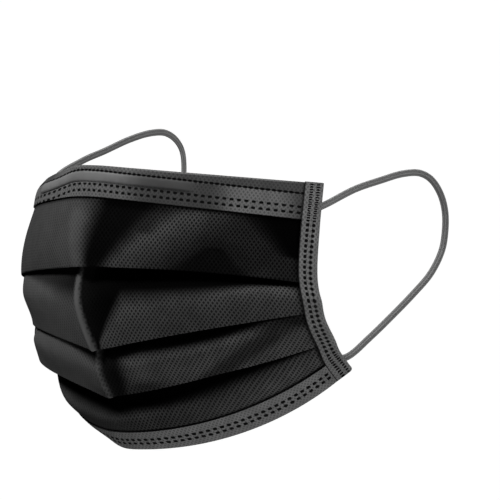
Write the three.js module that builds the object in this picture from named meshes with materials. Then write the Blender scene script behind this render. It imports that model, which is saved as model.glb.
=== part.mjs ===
// Pleated surgical mask in the form it has when worn. Millimetres.
// +X is the wearer's left, -Y is the outward side at the nose, +Z is up.
// The origin is the nose seat: the inner face of the top hem at the bridge of the nose.

import * as THREE from "three";

// Cloth and trims
const CLOTH_WIDTH = 175;
const HALF_WIDTH = CLOTH_WIDTH / 2;
const PANEL_WALL = 1;
const HEM_WALL = 1;
const GAP = 0.3;
const LAYER = PANEL_WALL + GAP;
const FOLD_RADIUS = LAYER / 2;
const TRIM_OFFSET = (PANEL_WALL + HEM_WALL) / 2 + GAP;
const EDGE_INSET = TRIM_OFFSET + HEM_WALL / 2;
const TOP_HEM_INNER = 10;
const BINDING_WIDTH = 7;
const SEAT_DISTANCE = 5.6;

// Nose wire, lying in the pocket of the top hem
const WIRE_LENGTH = 84;
const WIRE_WIDTH = 3.6;
const WIRE_THICKNESS = 0.6;
const WIRE_DISTANCE = 4.9;
const POCKET_RAMP = 1.4;

// Ear loops: flat elastic cord
const CORD_WIDTH = 2.5;
const CORD_THICKNESS = 1.5;
const CORD_SIDES = 8;
const CORD_TILT = 30;
const CORD_STEPS = 60;

// Facets
const COLUMNS = 34;
const TRIM_COLUMNS = 28;
const WIRE_COLUMNS = 24;
const BINDING_ROWS = 22;
const PLEAT_ARC_PARTS = 2;
const TRIM_ARC_PARTS = 4;
const CENTRE_CROWDING = 1.2;

// Level lines of the worn cloth from the top edge down. back and height are where a line crosses the centre.
// keel and turn are its heading beside the centre and at the side edge, ease how late the turn comes,
// climb and rise its slope at the same places, soft how wide the centre crease is rounded, as a share
// of the half width. Angles in degrees.
const LEVELS = {
  top_edge: { back: 0.8, height: 0, keel: 16, turn: 58, ease: 0.87, climb: -4, rise: -5, soft: 0.12 },
  hem_line: { back: -0.6, height: -11.2, keel: 13, turn: 57.5, ease: 0.82, climb: -5, rise: -6, soft: 0.12 },
  pleat_1: { back: -3, height: -36.7, keel: 15, turn: 54.5, ease: 1.05, climb: 0, rise: -8.6, soft: 0.06 },
  pleat_2: { back: 4.4, height: -67, keel: 3.5, turn: 56.8, ease: 0.83, climb: 11, rise: 8.6, soft: 0.02 },
  pleat_3: { back: 12.6, height: -83.8, keel: 12, turn: 60, ease: 1.34, climb: 10, rise: 16.5, soft: 0.02 },
  lower_line: { back: 18.4, height: -95.8, keel: 13, turn: 54, ease: 0.68, climb: 0, rise: 36.7, soft: 0.1 },
  bottom_edge: { back: 24.8, height: -102.1, keel: 17, turn: 54, ease: 0.68, climb: -1, rise: 41, soft: 0.14 },
};
const LEVEL_NAMES = Object.keys(LEVELS);
const LEVEL_ROWS = Object.values(LEVELS);
const SHAPE_KEYS = ["back", "height", "keel", "turn", "ease", "climb", "rise", "soft"];

// Pleats, each folded back under its edge line. tuck is the hidden height at the centre and at the side;
// gape says how far the fold stands open at the gape places, which run from the wearer's right to the left.
const GAPE_PLACES = [-1, -0.5, -0.25, 0, 0.25, 0.5, 1];
const PLEATS = [
  { edge: "pleat_1", tuckCentre: 5, tuckSide: 7, gape: [0, 0.2, 0.8, 0.4, 1.6, 1, 0] },
  { edge: "pleat_2", tuckCentre: 4, tuckSide: 4, gape: [0, 0.2, 0.6, 0.3, 1.2, 0.8, 0] },
  { edge: "pleat_3", tuckCentre: 5, tuckSide: 4, gape: [0, 2.6, 3, 2.4, 2.6, 1.6, 0] },
];
const GAPE_FADE = [0.65, 0.9];

// Panels between the pleats: the level lines between which each one swells, how far it swells,
// and its rows of facets.
const PANELS = [
  { from: "hem_line", to: "pleat_1", swell: 1.2, rows: 5 },
  { from: "pleat_1", to: "pleat_2", swell: 1.4, rows: 6 },
  { from: "pleat_2", to: "pleat_3", swell: 0.8, rows: 5 },
  { from: "pleat_3", to: "lower_line", swell: 0.6, rows: 5 },
];
const HEM_ROWS = 2;
const SETTLE_SHARE = 0.45;
const SWELL_FADE = [0.6, 0.9];

// Dents beside the centre crease and on the cheeks. across and down are the places of a dent's upper and
// lower end, as shares of the half width and of its panel's height; the half width is a share too.
const DENTS = [
  { panel: 0, across: [0.13, 0.06], down: [0.1, 0.8], halfWidth: 0.08, depth: 1.6 },
  { panel: 0, across: [0.62, 0.56], down: [0.66, 0.86], halfWidth: 0.09, depth: 0.8 },
  { panel: 1, across: [0.07, 0.055], down: [0, 0.92], halfWidth: 0.06, depth: 2.2 },
  { panel: 2, across: [0.055, 0.05], down: [0, 0.9], halfWidth: 0.045, depth: 1.3 },
];
const DENT_FADE = 0.12;

// Room for the pleated layers inside the side bindings
const BUNDLE_SLACK = 0.4;
const BUNDLE_DEPTH = 2 * LAYER + BUNDLE_SLACK;

// Routes of the ear loops from their upper weld to their lower one, in the finished frame.
// outward is the distance from the middle plane, to the wearer's left.
const LEFT_LOOP = [
  { outward: 61.6, back: 45.6, height: -11 },
  { outward: 63.4, back: 48.4, height: -10.2 },
  { outward: 65, back: 52.6, height: -8.8 },
  { outward: 66, back: 60, height: -6 },
  { outward: 67, back: 68, height: -3.2 },
  { outward: 68, back: 81, height: -0.2 },
  { outward: 69, back: 91.5, height: 1.8 },
  { outward: 69.5, back: 100, height: 1.8 },
  { outward: 70, back: 106, height: -0.8 },
  { outward: 70, back: 111, height: -6 },
  { outward: 70, back: 112.8, height: -12 },
  { outward: 69.5, back: 113.3, height: -20 },
  { outward: 69, back: 112, height: -26.5 },
  { outward: 68, back: 107.2, height: -34.3 },
  { outward: 66.5, back: 99.5, height: -42 },
  { outward: 64.5, back: 89, height: -50.3 },
  { outward: 62.3, back: 80, height: -57.4 },
  { outward: 61, back: 72.5, height: -61.4 },
  { outward: 60.2, back: 67.2, height: -63.4 },
  { outward: 58.9, back: 63.4, height: -65.2 },
];
const RIGHT_LOOP = [
  { outward: -61.6, back: 45.6, height: -11 },
  { outward: -63.4, back: 48.4, height: -9.8 },
  { outward: -65, back: 52.6, height: -6.4 },
  { outward: -66, back: 58.5, height: -1.5 },
  { outward: -67, back: 71, height: 4.2 },
  { outward: -68.5, back: 85, height: 8.4 },
  { outward: -69, back: 98.5, height: 12 },
  { outward: -69.5, back: 105, height: 13.6 },
  { outward: -70, back: 112.5, height: 14.2 },
  { outward: -70, back: 118.5, height: 13.6 },
  { outward: -70, back: 123.5, height: 11.2 },
  { outward: -70, back: 126.8, height: 8 },
  { outward: -70, back: 128.8, height: 3.5 },
  { outward: -70, back: 128.4, height: -3 },
  { outward: -69.5, back: 126, height: -11 },
  { outward: -69, back: 121, height: -20 },
  { outward: -68, back: 113, height: -30.5 },
  { outward: -66.5, back: 103, height: -40.5 },
  { outward: -64.5, back: 91.5, height: -49.5 },
  { outward: -62.3, back: 81, height: -57 },
  { outward: -61, back: 72.8, height: -61.3 },
  { outward: -60.2, back: 67.2, height: -63.4 },
  { outward: -58.9, back: 63.4, height: -65.2 },
];

const INTEGRATION_STEPS = 40;
const SPINE_STEPS = 110;
const SLOPE_REACH = 0.5;
const NORMAL_STEP = 0.004;

const finishes = {
  cloth: { color: 0x1b1b1c, roughness: 0.92 },
  trim: { color: 0x5c5c5f, roughness: 0.88 },
  elastic: { color: 0x6a6a6c, roughness: 0.8 },
  wire: { color: 0x8a8c8e, roughness: 0.4, metalness: 0.8 },
};

function smoothstep(low, high, x) {
  const s = THREE.MathUtils.clamp((x - low) / (high - low), 0, 1);
  return s * s * (3 - 2 * s);
}

// Smooth interpolation through (places, values), with slopes from the neighbours on both sides.
function smoothThrough(places, values, x) {
  const last = places.length - 1;
  const at = THREE.MathUtils.clamp(x, places[0], places[last]);
  let i = 0;
  while (i < last - 1 && at > places[i + 1]) {
    i += 1;
  }
  const slope = (k) => {
    const low = Math.max(k - 1, 0);
    const high = Math.min(k + 1, last);
    return (values[high] - values[low]) / (places[high] - places[low]);
  };
  const span = places[i + 1] - places[i];
  const s = (at - places[i]) / span;
  const s2 = s * s;
  const s3 = s2 * s;
  return (
    (2 * s3 - 3 * s2 + 1) * values[i] +
    (s3 - 2 * s2 + s) * span * slope(i) +
    (3 * s2 - 2 * s3) * values[i + 1] +
    (s3 - s2) * span * slope(i + 1)
  );
}

// Running distance of each level line from the top edge, along the middle of the mask.
const LEVEL_DISTANCES = LEVEL_ROWS.reduce((distances, level, i) => {
  const before = LEVEL_ROWS[i - 1];
  const step = before ? Math.hypot(level.back - before.back, level.height - before.height) : 0;
  distances.push((distances[i - 1] ?? 0) + step);
  return distances;
}, []);
const FULL_DISTANCE = LEVEL_DISTANCES[LEVEL_ROWS.length - 1];

function levelDistance(name) {
  return LEVEL_DISTANCES[LEVEL_NAMES.indexOf(name)];
}

function shapeAt(distance) {
  const shape = {};
  for (const key of SHAPE_KEYS) {
    const values = LEVEL_ROWS.map((level) => level[key]);
    shape[key] = smoothThrough(LEVEL_DISTANCES, values, distance);
  }
  return shape;
}

// Point of the smooth worn form, without pleats. across runs from -1 to 1 between the side edges,
// and each level line keeps the cloth's true width.
function formPoint(across, distance) {
  const shape = shapeAt(distance);
  const reach = Math.abs(across);
  const direction = (share) => {
    const onset = smoothstep(0, shape.soft, share);
    const turning = (shape.turn - shape.keel) * share ** shape.ease;
    const heading = THREE.MathUtils.degToRad(shape.keel * onset + turning);
    const climb = THREE.MathUtils.degToRad(shape.climb * onset + (shape.rise - shape.climb) * share);
    const level = Math.cos(climb);
    return new THREE.Vector3(Math.cos(heading) * level, Math.sin(heading) * level, Math.sin(climb));
  };
  const point = new THREE.Vector3();
  const step = reach / INTEGRATION_STEPS;
  for (let i = 0; i < INTEGRATION_STEPS; i += 1) {
    point.addScaledVector(direction((i + 0.5) * step), step * HALF_WIDTH);
  }
  point.x *= Math.sign(across);
  return point.add(new THREE.Vector3(0, shape.back, shape.height));
}

// One column of the worn form: points, outward normals and lengths measured down the cloth.
const columns = new Map();
function column(across) {
  if (!columns.has(across)) {
    const points = [];
    const normals = [];
    const lengths = [];
    for (let i = 0; i <= SPINE_STEPS; i += 1) {
      const distance = (FULL_DISTANCE * i) / SPINE_STEPS;
      const low = Math.max(distance - SLOPE_REACH, 0);
      const high = Math.min(distance + SLOPE_REACH, FULL_DISTANCE);
      const down = formPoint(across, high).sub(formPoint(across, low));
      const side = formPoint(across + NORMAL_STEP, distance).sub(formPoint(across - NORMAL_STEP, distance));
      points.push(formPoint(across, distance));
      normals.push(down.cross(side).normalize());
      lengths.push(i ? lengths[i - 1] + points[i].distanceTo(points[i - 1]) : 0);
    }
    columns.set(across, { points, normals, lengths });
  }
  return columns.get(across);
}

// Length down the cloth at which a column crosses a distance of the middle line.
function lengthAt(across, distance) {
  const { lengths } = column(across);
  const place = (distance / FULL_DISTANCE) * SPINE_STEPS;
  const i = Math.min(Math.floor(place), SPINE_STEPS - 1);
  return THREE.MathUtils.lerp(lengths[i], lengths[i + 1], place - i);
}

// Point at a length down the cloth, moved outwards along the normal.
function clothPoint(across, length, outwards) {
  const { points, normals, lengths } = column(across);
  let i = 0;
  while (i < SPINE_STEPS - 1 && lengths[i + 1] < length) {
    i += 1;
  }
  const share = (length - lengths[i]) / (lengths[i + 1] - lengths[i]);
  const normal = normals[i].clone().lerp(normals[i + 1], THREE.MathUtils.clamp(share, 0, 1)).normalize();
  return points[i].clone().lerp(points[i + 1], share).addScaledVector(normal, outwards);
}

// Closed wall around a grid of middle points: rows run down the cloth, columns towards the wearer's left.
function wallGeometry(grid, thickness) {
  const rows = grid.length;
  const count = grid[0].length;
  const outer = [];
  const inner = [];
  for (let r = 0; r < rows; r += 1) {
    for (let c = 0; c < count; c += 1) {
      const down = grid[Math.min(r + 1, rows - 1)][c].clone().sub(grid[Math.max(r - 1, 0)][c]);
      const side = grid[r][Math.min(c + 1, count - 1)].clone().sub(grid[r][Math.max(c - 1, 0)]);
      const normal = down.cross(side).normalize();
      outer.push(grid[r][c].clone().addScaledVector(normal, thickness / 2));
      inner.push(grid[r][c].clone().addScaledVector(normal, -thickness / 2));
    }
  }
  const vertex = (r, c, isInner) => (isInner ? rows * count : 0) + r * count + c;
  const indices = [];
  const quad = (a, b, c, d) => indices.push(a, b, c, a, c, d);
  for (let r = 0; r < rows - 1; r += 1) {
    for (let c = 0; c < count - 1; c += 1) {
      const [d, e] = [r + 1, c + 1];
      quad(vertex(r, c, false), vertex(d, c, false), vertex(d, e, false), vertex(r, e, false));
      quad(vertex(r, c, true), vertex(r, e, true), vertex(d, e, true), vertex(d, c, true));
    }
  }
  for (let r = 0; r < rows - 1; r += 1) {
    quad(vertex(r, 0, false), vertex(r, 0, true), vertex(r + 1, 0, true), vertex(r + 1, 0, false));
    const e = count - 1;
    quad(vertex(r, e, false), vertex(r + 1, e, false), vertex(r + 1, e, true), vertex(r, e, true));
  }
  for (let c = 0; c < count - 1; c += 1) {
    quad(vertex(0, c, false), vertex(0, c + 1, false), vertex(0, c + 1, true), vertex(0, c, true));
    const e = rows - 1;
    quad(vertex(e, c, false), vertex(e, c, true), vertex(e, c + 1, true), vertex(e, c + 1, false));
  }
  const geometry = new THREE.BufferGeometry();
  const positions = [...outer, ...inner].flatMap((p) => p.toArray());
  geometry.setAttribute("position", new THREE.Float32BufferAttribute(positions, 3));
  geometry.setIndex(indices);
  geometry.computeVertexNormals();
  return geometry;
}

// Places across the mask up to a limit, closer together at the centre crease.
function acrossPlaces(count, limit) {
  return Array.from({ length: count + 1 }, (_, i) => {
    const share = (2 * i) / count - 1;
    return Math.sign(share) * Math.abs(share) ** CENTRE_CROWDING * limit;
  });
}

// Half turn of a folded layer, as [length, outwards] pairs. way is 1 at a lower edge and -1 at an upper one.
function foldArc(length, outwards, radius, way, parts) {
  return evenly(0, Math.PI, parts).map((turn) => {
    return [length + way * radius * Math.sin(turn), outwards + radius * Math.cos(turn)];
  });
}

// Evenly spaced values from low to high, both included.
function evenly(low, high, parts) {
  return Array.from({ length: parts + 1 }, (_, i) => THREE.MathUtils.lerp(low, high, i / parts));
}

function pleatGape(pleat, across) {
  const closing = 1 - smoothstep(GAPE_FADE[0], GAPE_FADE[1], Math.abs(across));
  return Math.max(smoothThrough(GAPE_PLACES, pleat.gape, across), 0) * closing;
}

function dentDepth(index, across, share) {
  const besideTopHem = index === 0 ? smoothstep(0, DENT_FADE, share) : 1;
  const besideLowerHem = index === PANELS.length - 1 ? 1 - smoothstep(1 - DENT_FADE, 1, share) : 1;
  const depths = DENTS.filter((dent) => dent.panel === index).map((dent) => {
    const [top, bottom] = dent.down;
    const along = THREE.MathUtils.clamp((share - top) / (bottom - top), 0, 1);
    const middle = THREE.MathUtils.lerp(...dent.across, along);
    const sideways = (Math.abs(across) - middle) / dent.halfWidth;
    const lengthways = Math.max(top - share, share - bottom, 0) / DENT_FADE;
    return dent.depth * Math.exp(-(sideways ** 2) - lengthways ** 2);
  });
  return besideTopHem * besideLowerHem * depths.reduce((sum, depth) => sum + depth, 0);
}

// How far the middle of a panel lies outside the smooth form. Behind a pleat it follows the panel in front.
function panelOutwards(index, across, length) {
  const panel = PANELS[index];
  const from = lengthAt(across, levelDistance(panel.from));
  const to = lengthAt(across, levelDistance(panel.to));
  const recess = index ? 2 * LAYER + pleatGape(PLEATS[index - 1], across) : 0;
  if (index && length < from) {
    return panelOutwards(index - 1, across, length) - recess;
  }
  const share = THREE.MathUtils.clamp((length - from) / (to - from), 0, 1);
  const start = index ? panelOutwards(index - 1, across, from) - recess : 0;
  const fade = 1 - smoothstep(SWELL_FADE[0], SWELL_FADE[1], Math.abs(across));
  const swell = panel.swell * Math.sin(Math.PI * share) - dentDepth(index, across, share);
  return start * (1 - smoothstep(0, SETTLE_SHARE, share)) + swell * fade;
}

// Path of the folded cloth down one column, as [length, outwards] pairs.
function panelPath(across) {
  const bottom = lengthAt(across, FULL_DISTANCE) - EDGE_INSET;
  const hemLine = lengthAt(across, levelDistance("hem_line"));
  const path = evenly(EDGE_INSET, hemLine, HEM_ROWS).map((length) => [length, 0]);
  let start = hemLine;
  PANELS.forEach((panel, index) => {
    const isLast = index === PANELS.length - 1;
    const edge = lengthAt(across, levelDistance(panel.to));
    const end = isLast ? edge : edge - FOLD_RADIUS;
    for (const length of evenly(start, end, panel.rows).slice(1)) {
      path.push([length, panelOutwards(index, across, length)]);
    }
    if (isLast) {
      path.push(...evenly(end, bottom, HEM_ROWS).slice(1).map((length) => [length, 0]));
      return;
    }
    const pleat = PLEATS[index];
    const tuck = THREE.MathUtils.lerp(pleat.tuckCentre, pleat.tuckSide, Math.abs(across));
    const recess = 2 * LAYER + pleatGape(pleat, across);
    const head = edge - tuck + FOLD_RADIUS;
    const front = panelOutwards(index, across, end) - FOLD_RADIUS;
    path.push(...foldArc(end, front, FOLD_RADIUS, 1, PLEAT_ARC_PARTS).slice(1));
    const behind = panelOutwards(index, across, head) - recess;
    path.push(...foldArc(head, behind + FOLD_RADIUS, FOLD_RADIUS, -1, PLEAT_ARC_PARTS));
    start = head;
  });
  return path;
}

// Grid of middle points, with a row for each step of the path and a column for each place across.
function gridOf(places, pathAt) {
  const lines = places.map((across) => {
    return pathAt(across).map(([length, outwards]) => clothPoint(across, length, outwards));
  });
  return lines[0].map((_, r) => lines.map((line) => line[r]));
}

function pleatedPanel() {
  const limit = (HALF_WIDTH - EDGE_INSET) / HALF_WIDTH;
  const grid = gridOf(acrossPlaces(COLUMNS, limit), panelPath);
  return namedMesh("pleated_panel", wallGeometry(grid, PANEL_WALL), finishes.cloth);
}

// Offset of the top hem's outer leg, lifted over the nose wire.
function pocketOffset(length) {
  const half = WIRE_WIDTH / 2 + GAP;
  const away = Math.abs(length - WIRE_DISTANCE) - half;
  return TRIM_OFFSET + (WIRE_THICKNESS + GAP) * (1 - smoothstep(0, POCKET_RAMP, away));
}

function topHemPath(across) {
  const half = WIRE_WIDTH / 2 + GAP;
  const hemLine = lengthAt(across, levelDistance("hem_line"));
  const outer = [
    hemLine,
    (hemLine + WIRE_DISTANCE + half + POCKET_RAMP) / 2,
    WIRE_DISTANCE + half + POCKET_RAMP,
    WIRE_DISTANCE + half,
    WIRE_DISTANCE - half,
  ].map((length) => [length, pocketOffset(length)]);
  const fold = foldArc(EDGE_INSET, 0, TRIM_OFFSET, -1, TRIM_ARC_PARTS);
  return [...outer, ...fold, [(EDGE_INSET + TOP_HEM_INNER) / 2, -TRIM_OFFSET], [TOP_HEM_INNER, -TRIM_OFFSET]];
}

function bottomHemPath(across) {
  const lowerLine = lengthAt(across, levelDistance("lower_line"));
  const bottom = lengthAt(across, FULL_DISTANCE);
  const middle = (lowerLine + bottom - EDGE_INSET) / 2;
  const fold = foldArc(bottom - EDGE_INSET, 0, TRIM_OFFSET, 1, TRIM_ARC_PARTS).reverse();
  const inner = [lowerLine, middle].map((length) => [length, -TRIM_OFFSET]);
  const outer = [middle, lowerLine].map((length) => [length, TRIM_OFFSET]);
  return [...inner, ...fold, ...outer];
}

// Folded strip along the top or the bottom edge, ending just short of the side bindings.
function hem(name, pathAt) {
  const limit = (HALF_WIDTH - BINDING_WIDTH - GAP) / HALF_WIDTH;
  const grid = gridOf(acrossPlaces(TRIM_COLUMNS, limit), pathAt).reverse();
  return namedMesh(name, wallGeometry(grid, HEM_WALL), finishes.trim);
}

function noseWire() {
  const out = PANEL_WALL / 2 + GAP + WIRE_THICKNESS / 2;
  const path = [-1, 0, 1].map((share) => [WIRE_DISTANCE + (share * WIRE_WIDTH) / 2, out]);
  const places = acrossPlaces(WIRE_COLUMNS, WIRE_LENGTH / CLOTH_WIDTH);
  const geometry = wallGeometry(gridOf(places, () => path), WIRE_THICKNESS);
  return namedMesh("nose_wire", geometry, finishes.wire);
}

// Tape folded over a side edge; its inner leg is lifted over the bundle of pleated layers.
function sideBinding(name, side) {
  const bundleTop = levelDistance("pleat_1") - PLEATS[0].tuckSide - LAYER;
  const bundleBottom = levelDistance("pleat_3") + LAYER;
  const crossSection = (distance) => {
    const bundle =
      smoothstep(levelDistance("hem_line"), bundleTop, distance) *
      (1 - smoothstep(bundleBottom, levelDistance("lower_line"), distance));
    const inner = -TRIM_OFFSET - BUNDLE_DEPTH * bundle;
    const middle = (TRIM_OFFSET + inner) / 2;
    const width = [HALF_WIDTH - BINDING_WIDTH, HALF_WIDTH - (BINDING_WIDTH + EDGE_INSET) / 2];
    const turn = evenly(0, Math.PI, TRIM_ARC_PARTS).map((angle) => {
      const bend = TRIM_OFFSET * Math.sin(angle);
      return [HALF_WIDTH - EDGE_INSET + bend, middle + (TRIM_OFFSET - middle) * Math.cos(angle)];
    });
    const outerLeg = width.map((place) => [place, TRIM_OFFSET]);
    const innerLeg = width.map((place) => [place, inner]).reverse();
    return [...outerLeg, ...turn, ...innerLeg];
  };
  const grid = [];
  for (let i = 0; i <= BINDING_ROWS; i += 1) {
    const distance = (FULL_DISTANCE * i) / BINDING_ROWS;
    const row = crossSection(distance).map(([place, out]) => {
      const across = (side * place) / HALF_WIDTH;
      return clothPoint(across, lengthAt(across, distance), out);
    });
    grid.push(side > 0 ? row : row.reverse());
  }
  return namedMesh(name, wallGeometry(grid, HEM_WALL), finishes.trim);
}

function earLoop(name, route) {
  const points = route.map(({ outward, back, height }) => new THREE.Vector3(outward, back, height));
  const section = new THREE.Shape();
  for (let i = 0; i < CORD_SIDES; i += 1) {
    const angle = (2 * Math.PI * (i + 0.5)) / CORD_SIDES;
    const tilt = THREE.MathUtils.degToRad(CORD_TILT);
    const broad = (CORD_WIDTH / 2) * Math.sin(angle);
    const thin = (CORD_THICKNESS / 2) * Math.cos(angle);
    const x = thin * Math.cos(tilt) - broad * Math.sin(tilt);
    const y = thin * Math.sin(tilt) + broad * Math.cos(tilt);
    if (i) {
      section.lineTo(x, y);
    } else {
      section.moveTo(x, y);
    }
  }
  section.closePath();
  const extrudePath = new THREE.CatmullRomCurve3(points, false, "centripetal");
  const geometry = new THREE.ExtrudeGeometry(section, { steps: CORD_STEPS, extrudePath });
  return namedMesh(name, geometry, finishes.elastic);
}

function namedMesh(name, geometry, finish) {
  const mesh = new THREE.Mesh(geometry, new THREE.MeshStandardMaterial(finish));
  mesh.name = name;
  return mesh;
}

// Everything is built from the top edge and then moved so that the nose seat is the origin.
const seat = clothPoint(0, SEAT_DISTANCE, -EDGE_INSET);
const cloth = new THREE.Group();
cloth.add(pleatedPanel());
cloth.add(hem("top_hem", topHemPath));
cloth.add(hem("bottom_hem", bottomHemPath));
cloth.add(noseWire());
cloth.add(sideBinding("side_binding_left", 1));
cloth.add(sideBinding("side_binding_right", -1));
cloth.position.copy(seat).negate();

const mask = new THREE.Group();
mask.add(cloth);
mask.add(earLoop("ear_loop_left", LEFT_LOOP));
mask.add(earLoop("ear_loop_right", RIGHT_LOOP));

export default mask;
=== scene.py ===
"""Pleated face mask in its worn form: detailed cloth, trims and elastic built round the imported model.

Shapes are worked out in millimetres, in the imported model's frame: +X to the wearer's left, -Y outwards at
the nose and +Z up, with the origin on the inner face of the top hem over the bridge of the nose. A mesh is
turned into metres when it is made.
"""

import logging
import math
from dataclasses import dataclass, field, fields
from enum import Enum, auto
from operator import attrgetter
from typing import Any, Callable, Mapping, Optional, Sequence, Union

import bpy
import numpy as np
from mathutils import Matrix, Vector


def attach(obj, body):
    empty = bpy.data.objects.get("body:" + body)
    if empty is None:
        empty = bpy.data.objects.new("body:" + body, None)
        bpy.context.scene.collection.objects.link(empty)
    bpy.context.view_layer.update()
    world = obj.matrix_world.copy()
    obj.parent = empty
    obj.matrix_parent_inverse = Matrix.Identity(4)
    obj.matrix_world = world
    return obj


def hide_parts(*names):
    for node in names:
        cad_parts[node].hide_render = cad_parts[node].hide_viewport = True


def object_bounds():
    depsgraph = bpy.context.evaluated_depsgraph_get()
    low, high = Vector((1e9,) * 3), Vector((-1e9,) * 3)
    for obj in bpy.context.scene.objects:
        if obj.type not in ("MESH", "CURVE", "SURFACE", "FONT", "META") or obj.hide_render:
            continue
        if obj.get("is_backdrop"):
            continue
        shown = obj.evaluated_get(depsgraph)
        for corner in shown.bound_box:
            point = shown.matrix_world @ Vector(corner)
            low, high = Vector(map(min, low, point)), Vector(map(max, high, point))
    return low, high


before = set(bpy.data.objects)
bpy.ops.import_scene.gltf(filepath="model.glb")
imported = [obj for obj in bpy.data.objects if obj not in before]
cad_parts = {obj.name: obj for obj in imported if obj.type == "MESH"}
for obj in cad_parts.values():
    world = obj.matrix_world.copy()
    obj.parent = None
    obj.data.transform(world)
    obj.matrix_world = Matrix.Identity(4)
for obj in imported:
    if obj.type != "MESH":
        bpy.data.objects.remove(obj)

LOG = logging.getLogger("mask")
MM = 0.001
BODY = "root"
TURN = 2 * math.pi
FIBRES = 2600.0  # noise cells a metre, for the fibres of nonwoven cloth
OFF_SEAM = -9.0  # seam coordinate of cloth that no row of weld marks reaches


# ------------------------------------------------------------------------------------------------
# Shader maths
# ------------------------------------------------------------------------------------------------


class Value:
    """Output socket of a shader node that can be used in Python expressions."""

    def __init__(self, shader: "Shader", socket: bpy.types.NodeSocket) -> None:
        """Wraps one socket of a shader's tree."""
        self.shader = shader
        self.socket = socket

    def maths(self, operation: str, *others: "Number") -> "Value":
        """Adds one Math node.

        Args:
            operation: the node's operation.
            others: its second and third inputs.

        Returns:
            The node's output.
        """
        inputs = dict(enumerate((self, *others)))
        return self.shader.node("ShaderNodeMath", {"operation": operation}, inputs)

    def __add__(self, other: "Number") -> "Value":
        """Sum."""
        return self.maths("ADD", other)

    def __sub__(self, other: "Number") -> "Value":
        """Difference."""
        return self.maths("SUBTRACT", other)

    def __rsub__(self, other: float) -> "Value":
        """Difference with a plain number in front."""
        return self.shader.node("ShaderNodeMath", {"operation": "SUBTRACT"}, {0: other, 1: self})

    def __mul__(self, other: "Number") -> "Value":
        """Product."""
        return self.maths("MULTIPLY", other)

    def __truediv__(self, other: "Number") -> "Value":
        """Quotient."""
        return self.maths("DIVIDE", other)

    def __pow__(self, other: "Number") -> "Value":
        """Power."""
        return self.maths("POWER", other)

    __radd__ = __add__

    def step(self, low: float, high: float) -> "Value":
        """Smooth step from 0 at low to 1 at high, which may be the smaller one."""
        sockets = {"Value": self, "From Min": low, "From Max": high}
        return self.shader.node("ShaderNodeMapRange", {"interpolation_type": "SMOOTHSTEP"}, sockets)


Number = Union[Value, float]
Colour = tuple[float, float, float, float]


def grey(level: float, warmth: float = 0.0) -> Colour:
    """Linear colour that is nearly neutral; warmth moves it from blue to red."""
    return (level * (1 + warmth), level, level * (1 - warmth), 1.0)


class Shader:
    """Material with a Principled shader and one way to add nodes to it."""

    def __init__(
        self, name: str, roughness: float, specular: float, sheen: float, metallic: float = 0
    ) -> None:
        """Makes the material and sets what is the same all over its surface.

        Args:
            name: the material's name.
            roughness: the shader's roughness, unless something is linked to it later.
            specular: its specular level.
            sheen: weight of its sheen.
            metallic: its metallic value.
        """
        self.material = bpy.data.materials.new(name)
        self.material.use_nodes = True
        self.tree = self.material.node_tree
        self.surface = self.tree.nodes["Principled BSDF"]
        self.constant("Roughness", roughness)
        self.constant("Specular IOR Level", specular)
        self.constant("Sheen Weight", sheen)
        self.constant("Metallic", metallic)

    def constant(self, socket: str, value: Union[float, Colour]) -> None:
        """Sets one of the surface's sockets to a value that is the same everywhere."""
        self.surface.inputs[socket].default_value = value

    def node(
        self,
        kind: str,
        settings: Optional[Mapping[str, Any]] = None,
        sockets: Optional[Mapping[Union[str, int], Any]] = None,
        output: Union[str, int] = 0,
    ) -> Value:
        """Adds a node.

        Args:
            kind: the node's type.
            settings: its properties, which are set first.
            sockets: values or links of its inputs, by name or number.
            output: which output to give back.

        Returns:
            That output.
        """
        made = self.tree.nodes.new(kind)
        for key, setting in (settings or {}).items():
            setattr(made, key, setting)
        for key, value in (sockets or {}).items():
            if isinstance(value, Value):
                self.tree.links.new(value.socket, made.inputs[key])
            else:
                made.inputs[key].default_value = value
        return Value(self, made.outputs[output])

    def split(self, vector: Value) -> tuple[Value, Value]:
        """The first two numbers of a vector."""
        first = self.node("ShaderNodeSeparateXYZ", None, {0: vector})
        return first, Value(self, first.socket.node.outputs[1])

    def uv(self, name: str) -> tuple[Value, Value]:
        """Both coordinates of one of the piece's UV maps, in millimetres or in marks."""
        return self.split(self.node("ShaderNodeUVMap", {"uv_map": name}))

    def attribute(self, name: str) -> Value:
        """One of the attributes on the piece's vertices."""
        return self.node("ShaderNodeAttribute", {"attribute_name": name}, None, "Fac")

    def noise(self, scale: float, detail: float = 2) -> Value:
        """Noise on the piece's Object coordinates, from 0 to 1; scale is in cells a metre."""
        place = self.node("ShaderNodeTexCoord", output="Object")
        return self.node("ShaderNodeTexNoise", None, {"Vector": place, "Scale": scale, "Detail": detail})

    def clouds(self, scale: float, level: float, low: float, high: float) -> Value:
        """Grey level clouded between two shares of itself; scale is in cells a metre."""
        return self.mix(self.noise(scale).step(0.3, 0.7), grey(level * low), grey(level * high))

    def mix(self, share: Number, low: Union[Value, Colour], high: Union[Value, Colour]) -> Value:
        """Colour between low and high."""
        sockets = {0: share, 6: low, 7: high}
        return self.node("ShaderNodeMix", {"data_type": "RGBA"}, sockets, 2)

    def feed(self, socket: str, value: Value) -> None:
        """Links a value to one of the surface's sockets."""
        self.tree.links.new(value.socket, self.surface.inputs[socket])

    def bump(self, height: Value, strength: float, distance: float) -> None:
        """Bump from a height between 0 and 1; distance is its full height in millimetres."""
        sockets = {"Height": height, "Strength": strength, "Distance": distance * MM}
        self.feed("Normal", self.node("ShaderNodeBump", None, sockets))


# ------------------------------------------------------------------------------------------------
# Arrays and meshes
# ------------------------------------------------------------------------------------------------


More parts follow.
